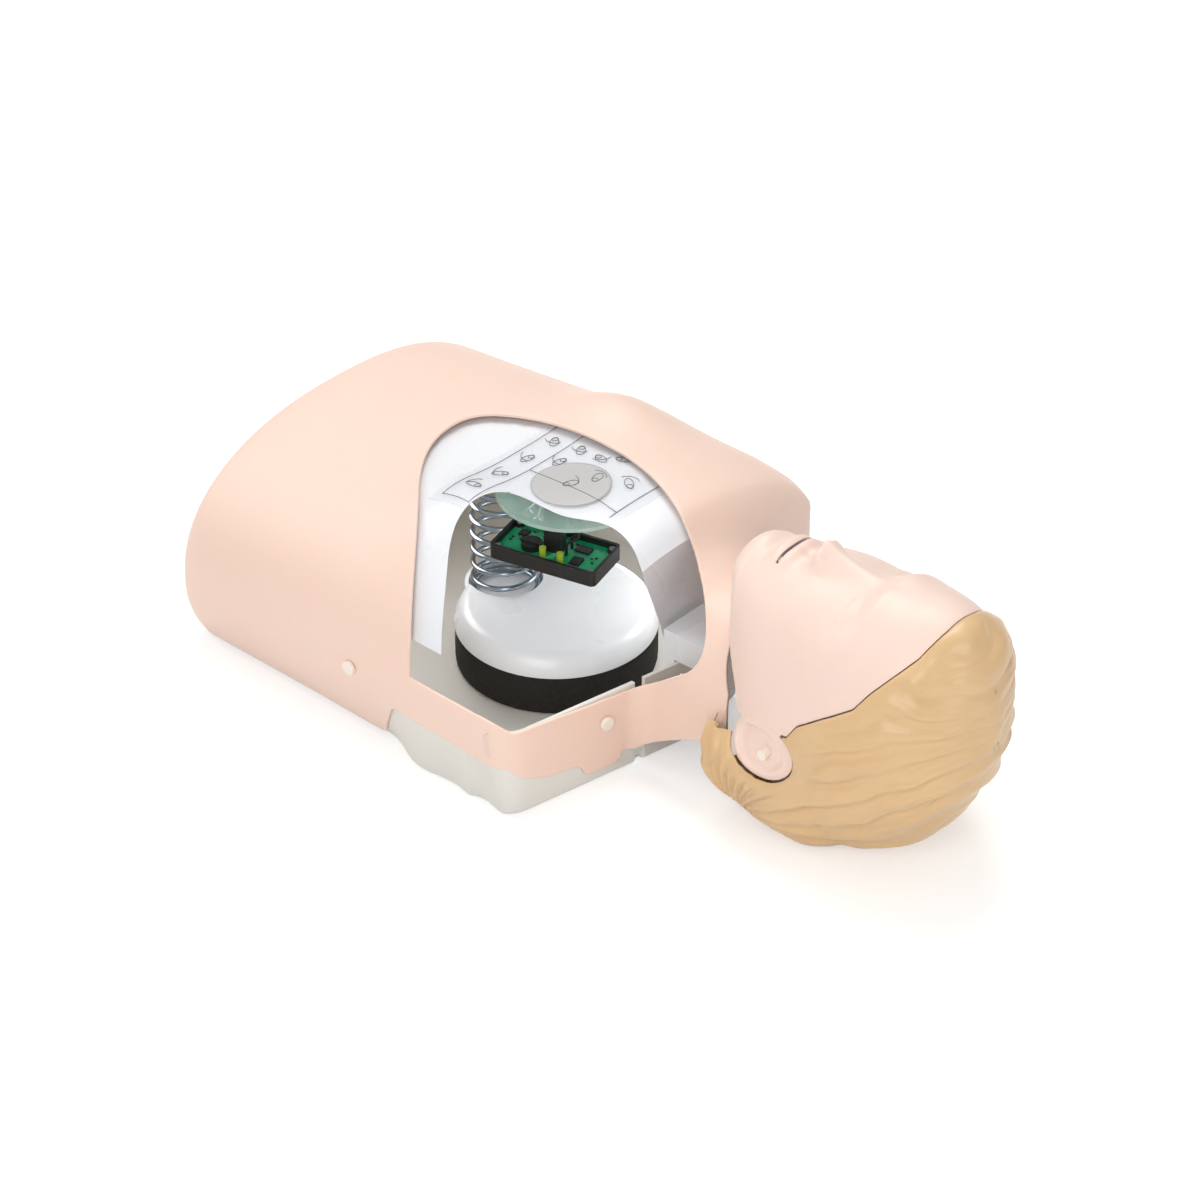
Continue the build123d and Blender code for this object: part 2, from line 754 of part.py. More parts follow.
def make_disc():
    disc = Pos(DISC_X, 0, DISC_TOP) * hung(DISC_RADIUS, DISC_THICKNESS)
    notch = Cylinder(SPRING_RADIUS + SPRING_WIRE / 2 + NOTCH_GAP, 3 * DISC_THICKNESS)
    return disc - Pos(SPRING_X, 0, DISC_TOP) * notch


def make_pad(below):
    return (Pos(DISC_X, 0, DISC_TOP) * post(PAD_RADIUS, REACH)) & below


def tray_frame():
    """Placement of the electronics tray, at the middle of its underside."""
    return Location((TRAY_X, TRAY_Y, TRAY_RIM - TRAY_DEPTH), (0, 0, TRAY_TURN))


def boss_spots():
    inset = TRAY_WALL + BOSS_RADIUS - BOSS_MERGE
    return GridLocations(TRAY_LENGTH - 2 * inset, TRAY_WIDTH - 2 * inset, 2, 2)


def make_tray():
    flat = RectangleRounded(TRAY_LENGTH, TRAY_WIDTH, TRAY_CORNER)
    length = TRAY_LENGTH - 2 * TRAY_WALL
    width = TRAY_WIDTH - 2 * TRAY_WALL
    inside = RectangleRounded(length, width, TRAY_CORNER - TRAY_WALL)
    tray = extrude(flat, amount=TRAY_DEPTH)
    tray = tray - Pos(0, 0, TRAY_WALL) * extrude(inside, amount=TRAY_DEPTH)
    boss_height = TRAY_DEPTH - BOSS_DROP
    for spot in boss_spots():
        hole = Pos(0, 0, boss_height) * hung(SCREW_SHANK + PIN_FIT, SCREW_DEPTH + 2 * PIN_FIT)
        tray = tray + spot * post(BOSS_RADIUS, boss_height) - spot * hole
    return tray_frame() * tray


def make_screws():
    top = TRAY_DEPTH - BOSS_DROP
    screws = []
    for spot in boss_spots():
        cap = post(SCREW_RADIUS, SCREW_HEIGHT)
        cap = fillet(cap.edges().sort_by(Axis.Z)[-1:], SCREW_HEIGHT * 0.45)
        screws.append(tray_frame() * spot * (Pos(0, 0, top) * (cap + hung(SCREW_SHANK, SCREW_DEPTH))))
    return Compound(screws)


def board_level():
    return TRAY_WALL + BOARD_LIFT


def make_board():
    length = TRAY_LENGTH - 2 * (TRAY_WALL + BOARD_GAP)
    width = TRAY_WIDTH - 2 * (TRAY_WALL + BOARD_GAP)
    board = standing_box(length, width, BOARD_THICKNESS)
    for spot in boss_spots():
        board = board - spot * Cylinder(BOSS_RADIUS + BOARD_GAP, TRAY_DEPTH)
    board = board - Box(HANGER_LENGTH + 2 * BOARD_GAP, HANGER_WIDTH + 2 * BOARD_GAP, TRAY_DEPTH)
    for x in (-length / 3, length / 3):
        board = board + Pos(x, 0, 0) * hung(BOARD_FOOT, BOARD_LIFT)
    return tray_frame() * Pos(0, 0, board_level()) * board


def make_hanger():
    """Post that carries the tray from the clear disc."""
    height = DISC_TOP - DISC_THICKNESS - (TRAY_RIM - TRAY_DEPTH + TRAY_WALL)
    return tray_frame() * Pos(0, 0, TRAY_WALL) * standing_box(HANGER_LENGTH, HANGER_WIDTH, height)


def board_part(x, y, solid):
    return tray_frame() * Pos(x, y, board_level() + BOARD_THICKNESS) * solid


def make_battery():
    """Coin cell in its holder, in the middle of the board."""
    clip = Pos(0, 0, CELL_HEIGHT) * standing_box(2 * CELL_RADIUS + 2, CLIP_WIDTH, CLIP_THICKNESS)
    return board_part(*CELL_SPOT, post(CELL_RADIUS, CELL_HEIGHT) + clip)


def make_chips():
    chips = []
    for x, y, length, width in CHIPS:
        chips.append(board_part(x, y, standing_box(length, width, CHIP_HEIGHT)))
    return Compound(chips)


def make_capacitors():
    cans = []
    for x, y in CAN_SPOTS:
        cans.append(board_part(x, y, post(CAN_RADIUS, CAN_HEIGHT)))
    return Compound(cans)


def make_wires():
    """Two leads from the board up beside the post to the clear disc."""
    low = board_level() + BOARD_THICKNESS
    high = DISC_TOP - DISC_THICKNESS - (TRAY_RIM - TRAY_DEPTH)
    leads = []
    for x, y, out in WIRE_SPOTS:
        points = [(x, y, low)]
        points += [(x + out * share, y + drift, low + rise) for share, drift, rise in WIRE_LOW]
        points += [(x + out * share, y + drift, high - drop) for share, drift, drop in WIRE_HIGH]
        path = FilletPolyline(*points, radius=WIRE_BEND)
        start = Plane(origin=path @ 0, z_dir=path % 0)
        leads.append(tray_frame() * sweep(start * Circle(WIRE_RADIUS), path=path))
    return Compound(leads)


def make_neck_beam():
    """Beam from the base's floor, over the front wall and into the collar, with the pin's knuckle."""
    depth = SKIN + BASE_FIT + WALL + BEAM_TO_WALL
    front = FRONT_REACH - FRONT_SLOPE * BEAM_WIDTH / 2 - depth
    back = front - BEAM_DEPTH
    foot = FLOOR + SEAT_GAP
    under = RIM + 1
    column = Pos((front + back) / 2, 0, foot) * standing_box(BEAM_DEPTH, BEAM_WIDTH, beam_top() - foot)
    arm = standing_box(NECK_X - back, BEAM_WIDTH, beam_top() - under)
    arm = Pos((NECK_X + back) / 2, 0, under) * arm
    return column + arm + along_y(NECK_X, NECK_Z, KNUCKLE_RADIUS, BEAM_WIDTH) - pin_bore()


def beam_top():
    return NECK_Z + KNUCKLE_RADIUS


def along_y(x, z, radius, length):
    """Cylinder along y, centred on the middle plane."""
    return Pos(x, 0, z) * Rot(90, 0, 0) * Cylinder(radius, length)


def pin_bore():
    return along_y(NECK_X, NECK_Z, NECK_PIN + PIN_FIT, 3 * BEAM_WIDTH)


def make_neck_pin():
    pin = along_y(NECK_X, NECK_Z, NECK_PIN, NECK_PIN_LENGTH)
    return chamfer(pin.edges().filter_by(GeomType.CIRCLE), PIN_CHAMFER)


def swell(value, centre, spread):
    return exp(-((value - centre) / spread) ** 2)


def nose(x, y):
    """Rise of the nose over the plain face."""
    tip = HEAD_START + 0.303 * HEAD_LENGTH
    bridge = HEAD_START + 0.535 * HEAD_LENGTH
    if x > tip:
        along = max(0.0, (bridge - x) / (bridge - tip))
        return NOSE_RISE * along ** 1.2 * swell(y, 0, 8 + 5 * along)
    return NOSE_RISE * swell(x, tip, 7) * swell(y, 0, 14)


def face_relief(x, y):
    """Rise of brow, eyes, cheeks, lips and chin over the plain face."""
    eye_line = HEAD_START + HEAD_LENGTH / 2
    eye = HEAD_HALF_WIDTH * 0.41
    relief = nose(x, y)
    relief += 3.0 * swell(x, eye_line + 17, 9) * swell(y, 0, 42)
    relief -= 7.5 * swell(x, eye_line, 13) * swell(abs(y), eye, 15)
    relief += 4.5 * swell(x, eye_line - 1, 8) * swell(abs(y), eye, 11)
    relief += 2.5 * swell(x, eye_line - 36, 18) * swell(abs(y), eye + 8, 14)
    relief += 4.0 * swell(x, MOUTH_X, 9) * swell(y, 0, 20)
    relief -= 2.5 * swell(x, MOUTH_X - 15, 5) * swell(y, 0, 18)
    return relief + 3.0 * swell(x, HEAD_START + 11, 9) * swell(y, 0, 15)


def head_section(x, front, back, half, level):
    """Points round one head section, from the middle of the face."""
    face = []
    for share in FRONT_SHARES:
        y = share * half
        rise = (1 - share ** 2.2) ** (1 / 2.2)
        face.append((y, level + (front - level) * rise + face_relief(x, y) * rise))
    rear = []
    for angle in BACK_ANGLES:
        turn = radians(angle)
        rear.append((half * sin(turn), level - (level - back) * cos(turn)))
    ring = [Vector(x, y, z) for y, z in face + rear]
    ring.append(Vector(x, 0, back))
    for y, z in reversed(face[1:] + rear):
        ring.append(Vector(x, -y, z))
    return ring


def head(inset):
    """Solid head, set in by a wall."""
    rows = []
    for along, front, back, wide, level in HEAD_STATIONS:
        rows.append((HEAD_START + along * HEAD_LENGTH, front * HEAD_DEPTH, back * HEAD_DEPTH,
                     wide * HEAD_HALF_WIDTH, level * HEAD_DEPTH))
    shifts = inset_rows(rows, inset, 3)
    shares = None
    wires = []
    for (x, front, back, half, level), (shift_x, shift_y) in zip(rows, shifts):
        if x > rows[-2][0]:
            shift_x, shift_y = -inset, 0.0
        ring = head_section(x + shift_x, front - shift_y, back + shift_y, half - shift_y, level)
        if shares is None:
            middle = head_section(*rows[len(rows) // 2])
            shares = chord_shares(middle + middle[:1])
        wires.append(Wire([Edge.make_spline(ring, periodic=True, parameters=shares)]))
    return Solid.make_loft(wires)


def nape_ring(x, half, low, rise):
    """Points round one section of the nape."""
    ring = []
    steps = 24
    for k in range(steps):
        turn = radians(360 * k / steps)
        y = half * copysign(abs(cos(turn)) ** (2 / NAPE_ROUNDNESS), cos(turn))
        reach = rise if sin(turn) > 0 else NAPE_LEVEL - low
        z = NAPE_LEVEL + reach * copysign(abs(sin(turn)) ** (2 / NAPE_ROUNDNESS), sin(turn))
        ring.append(Vector(x, y, z))
    return ring


def nape(inset):
    """Solid nape, set in by a wall and then open at the neck."""
    wires = []
    for k, (x, half, low) in enumerate(NAPE_STATIONS):
        x = x - inset if k == 0 else x
        ring = nape_ring(x, half - inset, low + inset, NAPE_RISE - inset)
        wires.append(Wire([Edge.make_spline(ring, periodic=True)]))
    return Solid.make_loft(wires)


def head_body(inset):
    return head(inset) + nape(inset)


def face_area(grow):
    """Side view of the face skin without its ears, grown or shrunk."""
    line = HAIRLINE + JAWLINE + [(FACE_FAR_X, BELOW), (FACE_FAR_X, FACE_TOP)]
    area = make_face(Polyline(*line, close=True))
    return offset(area, amount=grow, kind=Kind.INTERSECTION) if grow else area


def face_prism(grow):
    """Prism through the head with the outline of the face skin and its ears."""
    ear = Ellipse(EAR_WIDTH / 2 + EAR_BORDER + grow, EAR_HEIGHT / 2 + EAR_BORDER + grow)
    area = face_area(grow) + Pos(EAR_X, EAR_Z) * ear
    return through(area)


def collar_space():
    """Room for the collar as the head tilts, in the head's own place."""
    reach = BODY_LENGTH + SHOULDER_RUN + COLLAR_MARGIN
    top = COLLAR_TOP + COLLAR_GAP
    low = COLLAR_EDGE - 2 * COLLAR_GAP
    outline = [
        (BODY_LENGTH, low), (reach, low), (reach, COLLAR_BEND + COLLAR_GAP),
        (reach - COLLAR_LEAN, top), (BODY_LENGTH, top),
    ]
    end = RectangleRounded(2 * (COLLAR_HALF_WIDTH + COLLAR_GAP), 2 * top, COLLAR_ROUND)
    collar = side_prism(outline) & extrude(Plane.YZ * end, amount=2 * REACH)
    turned = Pos(NECK_X, 0, NECK_Z) * Rot(0, TILT, 0) * Pos(-NECK_X, 0, -NECK_Z) * collar
    return collar + turned


def make_head_shell(outer, shell_inner, rigid, space):
    seat = face_prism(FIT) - rigid
    shell = outer - shell_inner - seat - through(face_area(-FACE_LIP)) - space - side_prism(NECK_GAP)
    for side in (1, -1):
        shell = shell - ear_peg_cylinder(side, EAR_PEG_RADIUS + PIN_FIT, PEG_HOLE, PEG_HOLE)
        shell = shell - jaw_pin_cylinder(side, JAW_PIN)
    return shell


def ear_solid(side):
    outside = side * (HEAD_HALF_WIDTH + EAR_DEPTH)
    body = Pos(EAR_X, outside - side * (EAR_DEPTH + EAR_ROOT), EAR_Z) * scale(
        Sphere(1), by=(EAR_WIDTH / 2, EAR_DEPTH + EAR_ROOT, EAR_HEIGHT / 2))
    bowl = Pos(EAR_X, outside, EAR_Z) * scale(
        Sphere(1), by=(EAR_WIDTH / 2 - BOWL_MARGIN, EAR_DEPTH, EAR_HEIGHT / 2 - BOWL_MARGIN))
    return body - bowl


def make_face_skin(outer, inner, space):
    skin = (outer - inner) & face_prism(0)
    for side in (1, -1):
        skin = skin + (ear_solid(side) - inner)
    slit = Pos(MOUTH_X, 0, HEAD_DEPTH) * Box(MOUTH_GAP, MOUTH_WIDTH, HEAD_DEPTH / 2)
    skin = skin - slit - space
    for side in (1, -1):
        skin = skin - ear_peg_cylinder(side, EAR_PEG_RADIUS + PIN_FIT, PEG_HOLE, PEG_HOLE)
    return skin


def ear_peg_cylinder(side, radius, inwards, outwards):
    middle = side * (HEAD_HALF_WIDTH - HEAD_WALL + 1)
    peg = Cylinder(radius, inwards + outwards)
    return Pos(EAR_PEG_X, middle + side * (outwards - inwards) / 2, EAR_PEG_Z) * Rot(90, 0, 0) * peg


def make_ear_pegs():
    pegs = [ear_peg_cylinder(side, EAR_PEG_RADIUS, EAR_PEG_IN, EAR_PEG_OUT) for side in (1, -1)]
    return Compound(pegs)


def jaw_pin_cylinder(side, radius):
    y = side * (jaw_pin_reach() - JAW_PIN_LENGTH / 2)
    return Pos(JAW_PIVOT_X, y, JAW_PIVOT_Z) * Rot(90, 0, 0) * Cylinder(radius, JAW_PIN_LENGTH)


def jaw_pin_reach():
    return HEAD_HALF_WIDTH * 0.92 - FACE_WALL - FIT


def make_jaw_pins():
    return Compound([jaw_pin_cylinder(side, JAW_PIN - PIN_FIT) for side in (1, -1)])


def make_jaw(space):
    depth = FACE_WALL + JAW_GAP
    shell = head(depth) - head(depth + JAW_WALL)
    jaw = (shell & side_prism(JAW_OUTLINE)) - space
    for side in (1, -1):
        jaw = jaw - jaw_pin_cylinder(side, JAW_PIN)
    return jaw


def make_yoke(room):
    """Two cheeks round the neck's knuckle, seated on the inside of the back of the head."""
    corners = [(NECK_X + along, NECK_Z + up) for along, up in YOKE_CORNERS]
    cheek = make_face(Polyline(*corners, close=True))
    cheek = cheek + Pos(NECK_X, NECK_Z) * Circle(YOKE_RADIUS)
    inner = BEAM_WIDTH / 2 + FIT
    plate = extrude(Plane.XZ * cheek, amount=YOKE_WALL)
    cheeks = Pos(0, -inner, 0) * plate + Pos(0, inner + YOKE_WALL, 0) * plate
    web = Pos(NECK_X + YOKE_WEB, 0, BELOW) * standing_box(YOKE_WALL, 2 * inner + YOKE_WALL, WEB_HEIGHT)
    return ((cheeks + web) & room) - pin_bore()


def make_airway(room):
    """Mouthpiece and tube from the lips to the neck."""
    x = MOUTH_X + AIRWAY_SHIFT
    top = HEAD_DEPTH - MOUTHPIECE
    turn = (x, 0, AIRWAY_LEVEL)
    path = FilletPolyline((x, 0, top), turn, (NECK_X - AIRWAY_SHIFT, 0, AIRWAY_LEVEL), radius=AIRWAY_BEND)
    start = Plane(origin=path @ 0, z_dir=path % 0)
    tube = sweep(start * Circle(AIRWAY_RADIUS), path=path)
    bore = sweep(start * Circle(AIRWAY_RADIUS - AIRWAY_WALL), path=path)
    cup = Pos(x, 0, top - 1) * extrude(Ellipse(CUP_LENGTH, CUP_WIDTH), amount=HEAD_DEPTH)
    inside = Ellipse(CUP_LENGTH - CUP_WALL, CUP_WIDTH - CUP_WALL)
    mouth = (cup & room) - Pos(x, 0, top + 2) * extrude(inside, amount=HEAD_DEPTH)
    way_in = Pos(x, 0, top) * Cylinder(AIRWAY_RADIUS - AIRWAY_WALL, 4 * CUP_WALL)
    return mouth + tube - bore - way_in


def save(name, shape):
    os.makedirs("parts", exist_ok=True)
    moved = Pos(-ORIGIN_X, 0, 0) * shape
    export_step(moved, "parts/" + name + ".step")
    print(name, round(moved.volume), [round(v, 1) for v in moved.bounding_box().size])


def main():
    outer = torso(0, BELOW) & skin_prism(0)
    below = under_plate()
    places = button_places(outer)
    save("torso_skin", make_skin(outer, places))
    save("base_tray", make_base(places))
    save("skin_buttons", make_buttons(places))
    save("foam_block", make_foam())
    save("guide_dome", make_dome())
    save("compression_spring", make_spring())
    save("spring_seat", make_spring_seat(below))
    save("chest_plate", make_plate())
    save("airway_bag", make_bag())
    save("clear_disc", make_disc())
    save("sensor_pad", make_pad(below))
    save("electronics_tray", make_tray())
    save("tray_screws", make_screws())
    save("circuit_board", make_board())
    save("tray_hanger", make_hanger())
    save("battery_holder", make_battery())
    save("board_chips", make_chips())
    save("board_capacitors", make_capacitors())
    save("sensor_leads", make_wires())
    save("neck_beam", make_neck_beam())
    save("neck_pin", make_neck_pin())
    outer_head = head_body(0)
    skin_room = head_body(FACE_WALL)
    room = head_body(FACE_WALL + FIT)
    hollow = head_body(HEAD_WALL)
    space = collar_space()
    save("head_shell", make_head_shell(outer_head, hollow, room, space))
    save("face_skin", make_face_skin(outer_head, skin_room, space))
    save("ear_pegs", make_ear_pegs())
    save("jaw_pins", make_jaw_pins())
    save("jaw", make_jaw(space))
    save("head_yoke", make_yoke(head_body(HEAD_WALL + FIT)))
    save("airway_tube", make_airway(room))


main()
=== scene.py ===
import json
from math import cos, pi, radians, sin, tau

import bmesh
import bpy
import numpy as np
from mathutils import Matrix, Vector, noise
from mathutils.bvhtree import BVHTree

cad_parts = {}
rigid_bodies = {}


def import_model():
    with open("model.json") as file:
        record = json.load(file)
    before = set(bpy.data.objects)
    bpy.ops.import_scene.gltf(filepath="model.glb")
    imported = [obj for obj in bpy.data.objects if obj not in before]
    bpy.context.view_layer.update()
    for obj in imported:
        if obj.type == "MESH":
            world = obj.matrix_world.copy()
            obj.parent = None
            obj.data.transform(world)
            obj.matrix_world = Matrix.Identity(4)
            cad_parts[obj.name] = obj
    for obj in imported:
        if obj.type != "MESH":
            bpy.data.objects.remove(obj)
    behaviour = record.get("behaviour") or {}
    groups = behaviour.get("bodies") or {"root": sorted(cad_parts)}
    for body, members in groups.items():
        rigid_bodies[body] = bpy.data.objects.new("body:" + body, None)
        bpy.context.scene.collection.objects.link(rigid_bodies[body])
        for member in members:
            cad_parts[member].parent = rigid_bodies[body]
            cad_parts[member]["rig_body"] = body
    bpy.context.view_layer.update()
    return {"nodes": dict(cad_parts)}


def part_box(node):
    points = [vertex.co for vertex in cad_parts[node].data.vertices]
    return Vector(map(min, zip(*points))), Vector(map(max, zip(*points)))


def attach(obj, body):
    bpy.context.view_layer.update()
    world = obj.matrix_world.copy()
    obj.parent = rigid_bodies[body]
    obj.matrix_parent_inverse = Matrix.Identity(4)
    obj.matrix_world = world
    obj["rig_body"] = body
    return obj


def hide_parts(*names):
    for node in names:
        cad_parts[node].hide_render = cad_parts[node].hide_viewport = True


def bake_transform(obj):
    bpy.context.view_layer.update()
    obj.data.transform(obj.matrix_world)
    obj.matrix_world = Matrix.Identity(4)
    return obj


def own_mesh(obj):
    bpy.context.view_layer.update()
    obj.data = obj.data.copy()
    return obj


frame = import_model()

# Lengths are millimetres in the tables and functions, with x from the waist end towards the head.
# placed() turns them into metres in the part's frame.
ORIGIN_X = 200.0
MM = 0.001

# Camera and light
CAMERA_TARGET = (277.0, -1.0, 76.0)
CAMERA_TURN = 41.4
CAMERA_TILT = 34.5
CAMERA_DISTANCE = 3000.0
CAMERA_LENS = 120.0
FLOOR_HALF = 6000.0

# Torso surface, as in the part
BODY_LENGTH = 345.0
SHOULDER_RUN = 103.0
HALF_WIDTH = 178.0
CHEST_HEIGHT = 186.0
WIDEST_LEVEL = 66.0
WAIST_LEVEL = 54.0
LEVEL_RUN = 220.0
COLLAR_HALF_WIDTH = 58.0
COLLAR_TOP = 140.0
COLLAR_LEVEL = 84.0
ROUNDNESS = 2.33
WAIST_TUCK = 0.885
FRONT_TUCK = 0.98
TUCK_BEFORE = 24.0
TUCK_RUN = 46.0
FRONT_REACH = 380.0
FRONT_SLOPE = 0.21
CORNER_ROUND = 25.0
COLLAR_FLARE = 16.0
BREAST_X = 215.0
BREAST_Y = 92.0
BREAST_RISE = 17.0
BREAST_SPREAD = 42.0
BODY_STATIONS = [
    (0.0, 0.937, 0.854), (0.009, 0.952, 0.873), (0.023, 0.961, 0.884), (0.046, 0.968, 0.893),
    (0.174, 0.972, 0.914), (0.362, 0.978, 0.946), (0.551, 0.989, 0.973), (0.725, 0.994, 1.0),
    (0.870, 0.997, 1.0), (0.957, 1.0, 0.973), (1.0, 0.978, 0.946),
]
SHOULDER_STATIONS = [
    (0.068, 0.875, 0.652, 0.0), (0.126, 0.667, 0.522, 0.0), (0.184, 0.417, 0.413, 0.11),
    (0.262, 0.233, 0.304, 0.22), (0.379, 0.108, 0.196, 0.44), (0.534, 0.038, 0.087, 0.67),
    (0.728, 0.004, 0.020, 0.89), (0.864, 0.001, 0.005, 0.96), (1.0, 0.0, 0.0, 1.0),
]

# Chest skin, thicker than the solid's wall so that its cut edge shows
SKIN = 2.5
FLAP_LEVEL = 4.0
FLAP_END = 228.0
FLAP_LEAN = 24.0
FLAP_ROUND = 12.0
SIDE_EDGE = 48.0
STEP_ROUND = 5.0
COLLAR_EDGE = 54.0
COLLAR_BEND = 100.0
COLLAR_LEAN = 20.0
END_LIP = 34.0
TAB_WIDTH = 32.0
TAB_LEVEL = 11.0
TAB_Y = 93.0
FRONT_EDGE = [(340, 43.5), (346, 33), (350, 26), (358, 21.5), (368, 18), (384, 28), (410, 44)]
CUT_SIDE_LIMIT = 60.0
WINDOW_CURVE = [
    (-139, -57), (-137, 0), (-134, 67), (-127, 116), (-104, 137), (-66, 140),
    (-7, 122), (25, 103), (55, 70), (72, 25), (76, -12), (66, -50), (45, -59), (25, -65),
]
WINDOW_CORNER = (-62, -97)

# Head, as in the part
HEAD_START = 418.0
HEAD_LENGTH = 231.0
HEAD_HALF_WIDTH = 79.0
HEAD_DEPTH = 211.0
FACE_WALL = 2.5
HEAD_WALL = 5.0
HAIR_WALL = HEAD_WALL - 0.5
HEAD_ROUNDNESS = 2.2
HEAD_STATIONS = [
    (0.0, 0.885, 0.800, 0.16, 0.845), (0.026, 0.922, 0.765, 0.32, 0.835),
    (0.061, 0.945, 0.735, 0.45, 0.810), (0.082, 0.950, 0.560, 0.54, 0.735),
    (0.104, 0.955, 0.300, 0.62, 0.620), (0.130, 0.960, 0.165, 0.69, 0.560),
    (0.160, 0.964, 0.095, 0.75, 0.530), (0.190, 0.966, 0.065, 0.80, 0.515),
    (0.225, 0.966, 0.040, 0.845, 0.505), (0.260, 0.966, 0.026, 0.875, 0.495),
    (0.285, 0.966, 0.018, 0.895, 0.490), (0.310, 0.967, 0.012, 0.91, 0.485),
    (0.350, 0.970, 0.006, 0.93, 0.475), (0.405, 0.975, 0.002, 0.955, 0.465),
    (0.460, 0.982, 0.000, 0.975, 0.460), (0.515, 0.992, 0.000, 0.990, 0.458),
    (0.568, 1.0, 0.009, 0.991, 0.459), (0.640, 1.008, 0.040, 0.942, 0.469),
    (0.721, 1.010, 0.092, 0.856, 0.492), (0.793, 0.998, 0.163, 0.752, 0.522),
    (0.853, 0.960, 0.250, 0.620, 0.559), (0.897, 0.905, 0.340, 0.480, 0.595),
    (0.927, 0.832, 0.438, 0.324, 0.631), (0.950, 0.748, 0.555, 0.144, 0.653),
]
NAPE_STATIONS = [
    (437, 66.5, 36), (441, 70.5, 29), (448, 73.5, 20), (460, 76, 10), (480, 76, 4), (505, 75, 1),
    (535, 66, 0), (565, 40, 10),
]
NAPE_LEVEL = 58.0
NAPE_RISE = 40.0
NAPE_ROUNDNESS = 2.6
NAPE_BLEND = 6.0
NAPE_FADE = 45.0
HAIRLINE = [
    (606, 250), (606, 207), (600, 193), (577, 165), (568, 151), (547, 137), (526, 121), (517, 107),
]
JAWLINE = [(473, 98), (457, 96.5), (440, 92), (428, 88), (428, -30)]
NECK_GAP = [(425, 78), (450, 81), (463, 83), (469, 92), (473, 98), (457, 96.5), (440, 92), (425, 90)]
FACE_FAR_X = 300.0
EAR_X = 494.0
EAR_Z = 86.0
EAR_HEIGHT = 38.0
EAR_WIDTH = 57.0
EAR_BORDER = 2.0
COLLAR_GAP = 5.0
COLLAR_MARGIN = 8.0
COLLAR_ROUND = 45.0
NECK_X = 450.0
NECK_Z = 88.0
TILT = 20.0
MOUTH_X = 460.0


# Numbers and curves

def placed(points):
    """Millimetres of the part's own layout as metres in its frame."""
    return (np.asarray(points, float) - (ORIGIN_X, 0.0, 0.0)) * MM


def swell(value, centre, spread):
    return np.exp(-((value - centre) / spread) ** 2)


def smooth_curve(points, count):
    """Natural cubic spline through points, at count places."""
    points = np.asarray(points, float)
    steps = np.linalg.norm(np.diff(points, axis=0), axis=1)
    at = np.concatenate([[0], np.cumsum(steps)])
    n = len(points)
    system = np.eye(n)
    right = np.zeros_like(points)
    for k in range(1, n - 1):
        a, b = at[k] - at[k - 1], at[k + 1] - at[k]
        system[k, k - 1:k + 2] = a, 2 * (a + b), b
        right[k] = 6 * ((points[k + 1] - points[k]) / b - (points[k] - points[k - 1]) / a)
    bend = np.linalg.solve(system, right)
    where = np.linspace(0, at[-1], count)
    k = np.clip(np.searchsorted(at, where, side="right") - 1, 0, n - 2)
    h = (at[k + 1] - at[k])[:, None]
    a = (at[k + 1] - where)[:, None] / h
    b = 1 - a
    return (a * points[k] + b * points[k + 1]
            + ((a ** 3 - a) * bend[k] + (b ** 3 - b) * bend[k + 1]) * h * h / 6)


def even_rows(rows, at):
    """Rows of a table, read at any first value, with no overshoot between them."""
    rows = np.asarray(rows, float)
    x, y = rows[:, 0], rows[:, 1:]
    h = np.diff(x)[:, None]
    slope = np.diff(y, axis=0) / h
    tangent = np.zeros_like(y)
    same = slope[:-1] * slope[1:] > 0
    mean = 2 * slope[:-1] * slope[1:] / np.where(same, slope[:-1] + slope[1:], 1)
    tangent[1:-1] = np.where(same, mean, 0)
    tangent[0], tangent[-1] = slope[0], slope[-1]
    at = np.clip(at, x[0], x[-1])
    k = np.clip(np.searchsorted(x, at, side="right") - 1, 0, len(x) - 2)
    t = ((at - x[k]) / (x[k + 1] - x[k]))[..., None]
    span = h[k]
    return ((2 * t ** 3 - 3 * t ** 2 + 1) * y[k] + (t ** 3 - 2 * t ** 2 + t) * span * tangent[k]
            + (3 * t ** 2 - 2 * t ** 3) * y[k + 1] + (t ** 3 - t ** 2) * span * tangent[k + 1])


def outline_distance(outline, across, along):
    """Distance from a closed outline, positive inside."""
    outline = np.asarray(outline, float)
    near = np.full(np.shape(across), 1e9)
    inside = np.zeros(np.shape(across), bool)
    for (ax, ay), (bx, by) in zip(outline, np.roll(outline, -1, axis=0)):
        dx, dy = bx - ax, by - ay
        t = np.clip(((across - ax) * dx + (along - ay) * dy) / max(dx * dx + dy * dy, 1e-9), 0, 1)
        near = np.minimum(near, np.hypot(across - ax - t * dx, along - ay - t * dy))
        if ay != by:
            inside ^= ((ay > along) != (by > along)) & (across < dx * (along - ay) / dy + ax)
    return np.where(inside, near, -near)


def fractal(points, scale, octaves=3):
    """Smooth noise at each point, about -1 to 1."""
    return np.array([noise.fractal(Vector(p) / scale, 1.0, 2.0, octaves) for p in points])


def view_axes():
    """Right, up and backward directions of the display view."""
    turn, tilt = radians(CAMERA_TURN), radians(CAMERA_TILT)
    back = np.array([sin(turn) * cos(tilt), -cos(turn) * cos(tilt), sin(tilt)])
    right = np.array([cos(turn), sin(turn), 0.0])
    return right, np.cross(back, right), back


# Meshes

def new_object(name, vertices, faces, smooth=True):
    mesh = bpy.data.meshes.new(name)
    mesh.from_pydata([tuple(v) for v in vertices], [], [tuple(f) for f in faces])
    mesh.update()
    return shown(name, mesh, smooth)


def shown(name, mesh, smooth=True):
    mesh.polygons.foreach_set("use_smooth", [smooth] * len(mesh.polygons))
    piece = bpy.data.objects.new(name, mesh)
    bpy.context.scene.collection.objects.link(piece)
    return piece


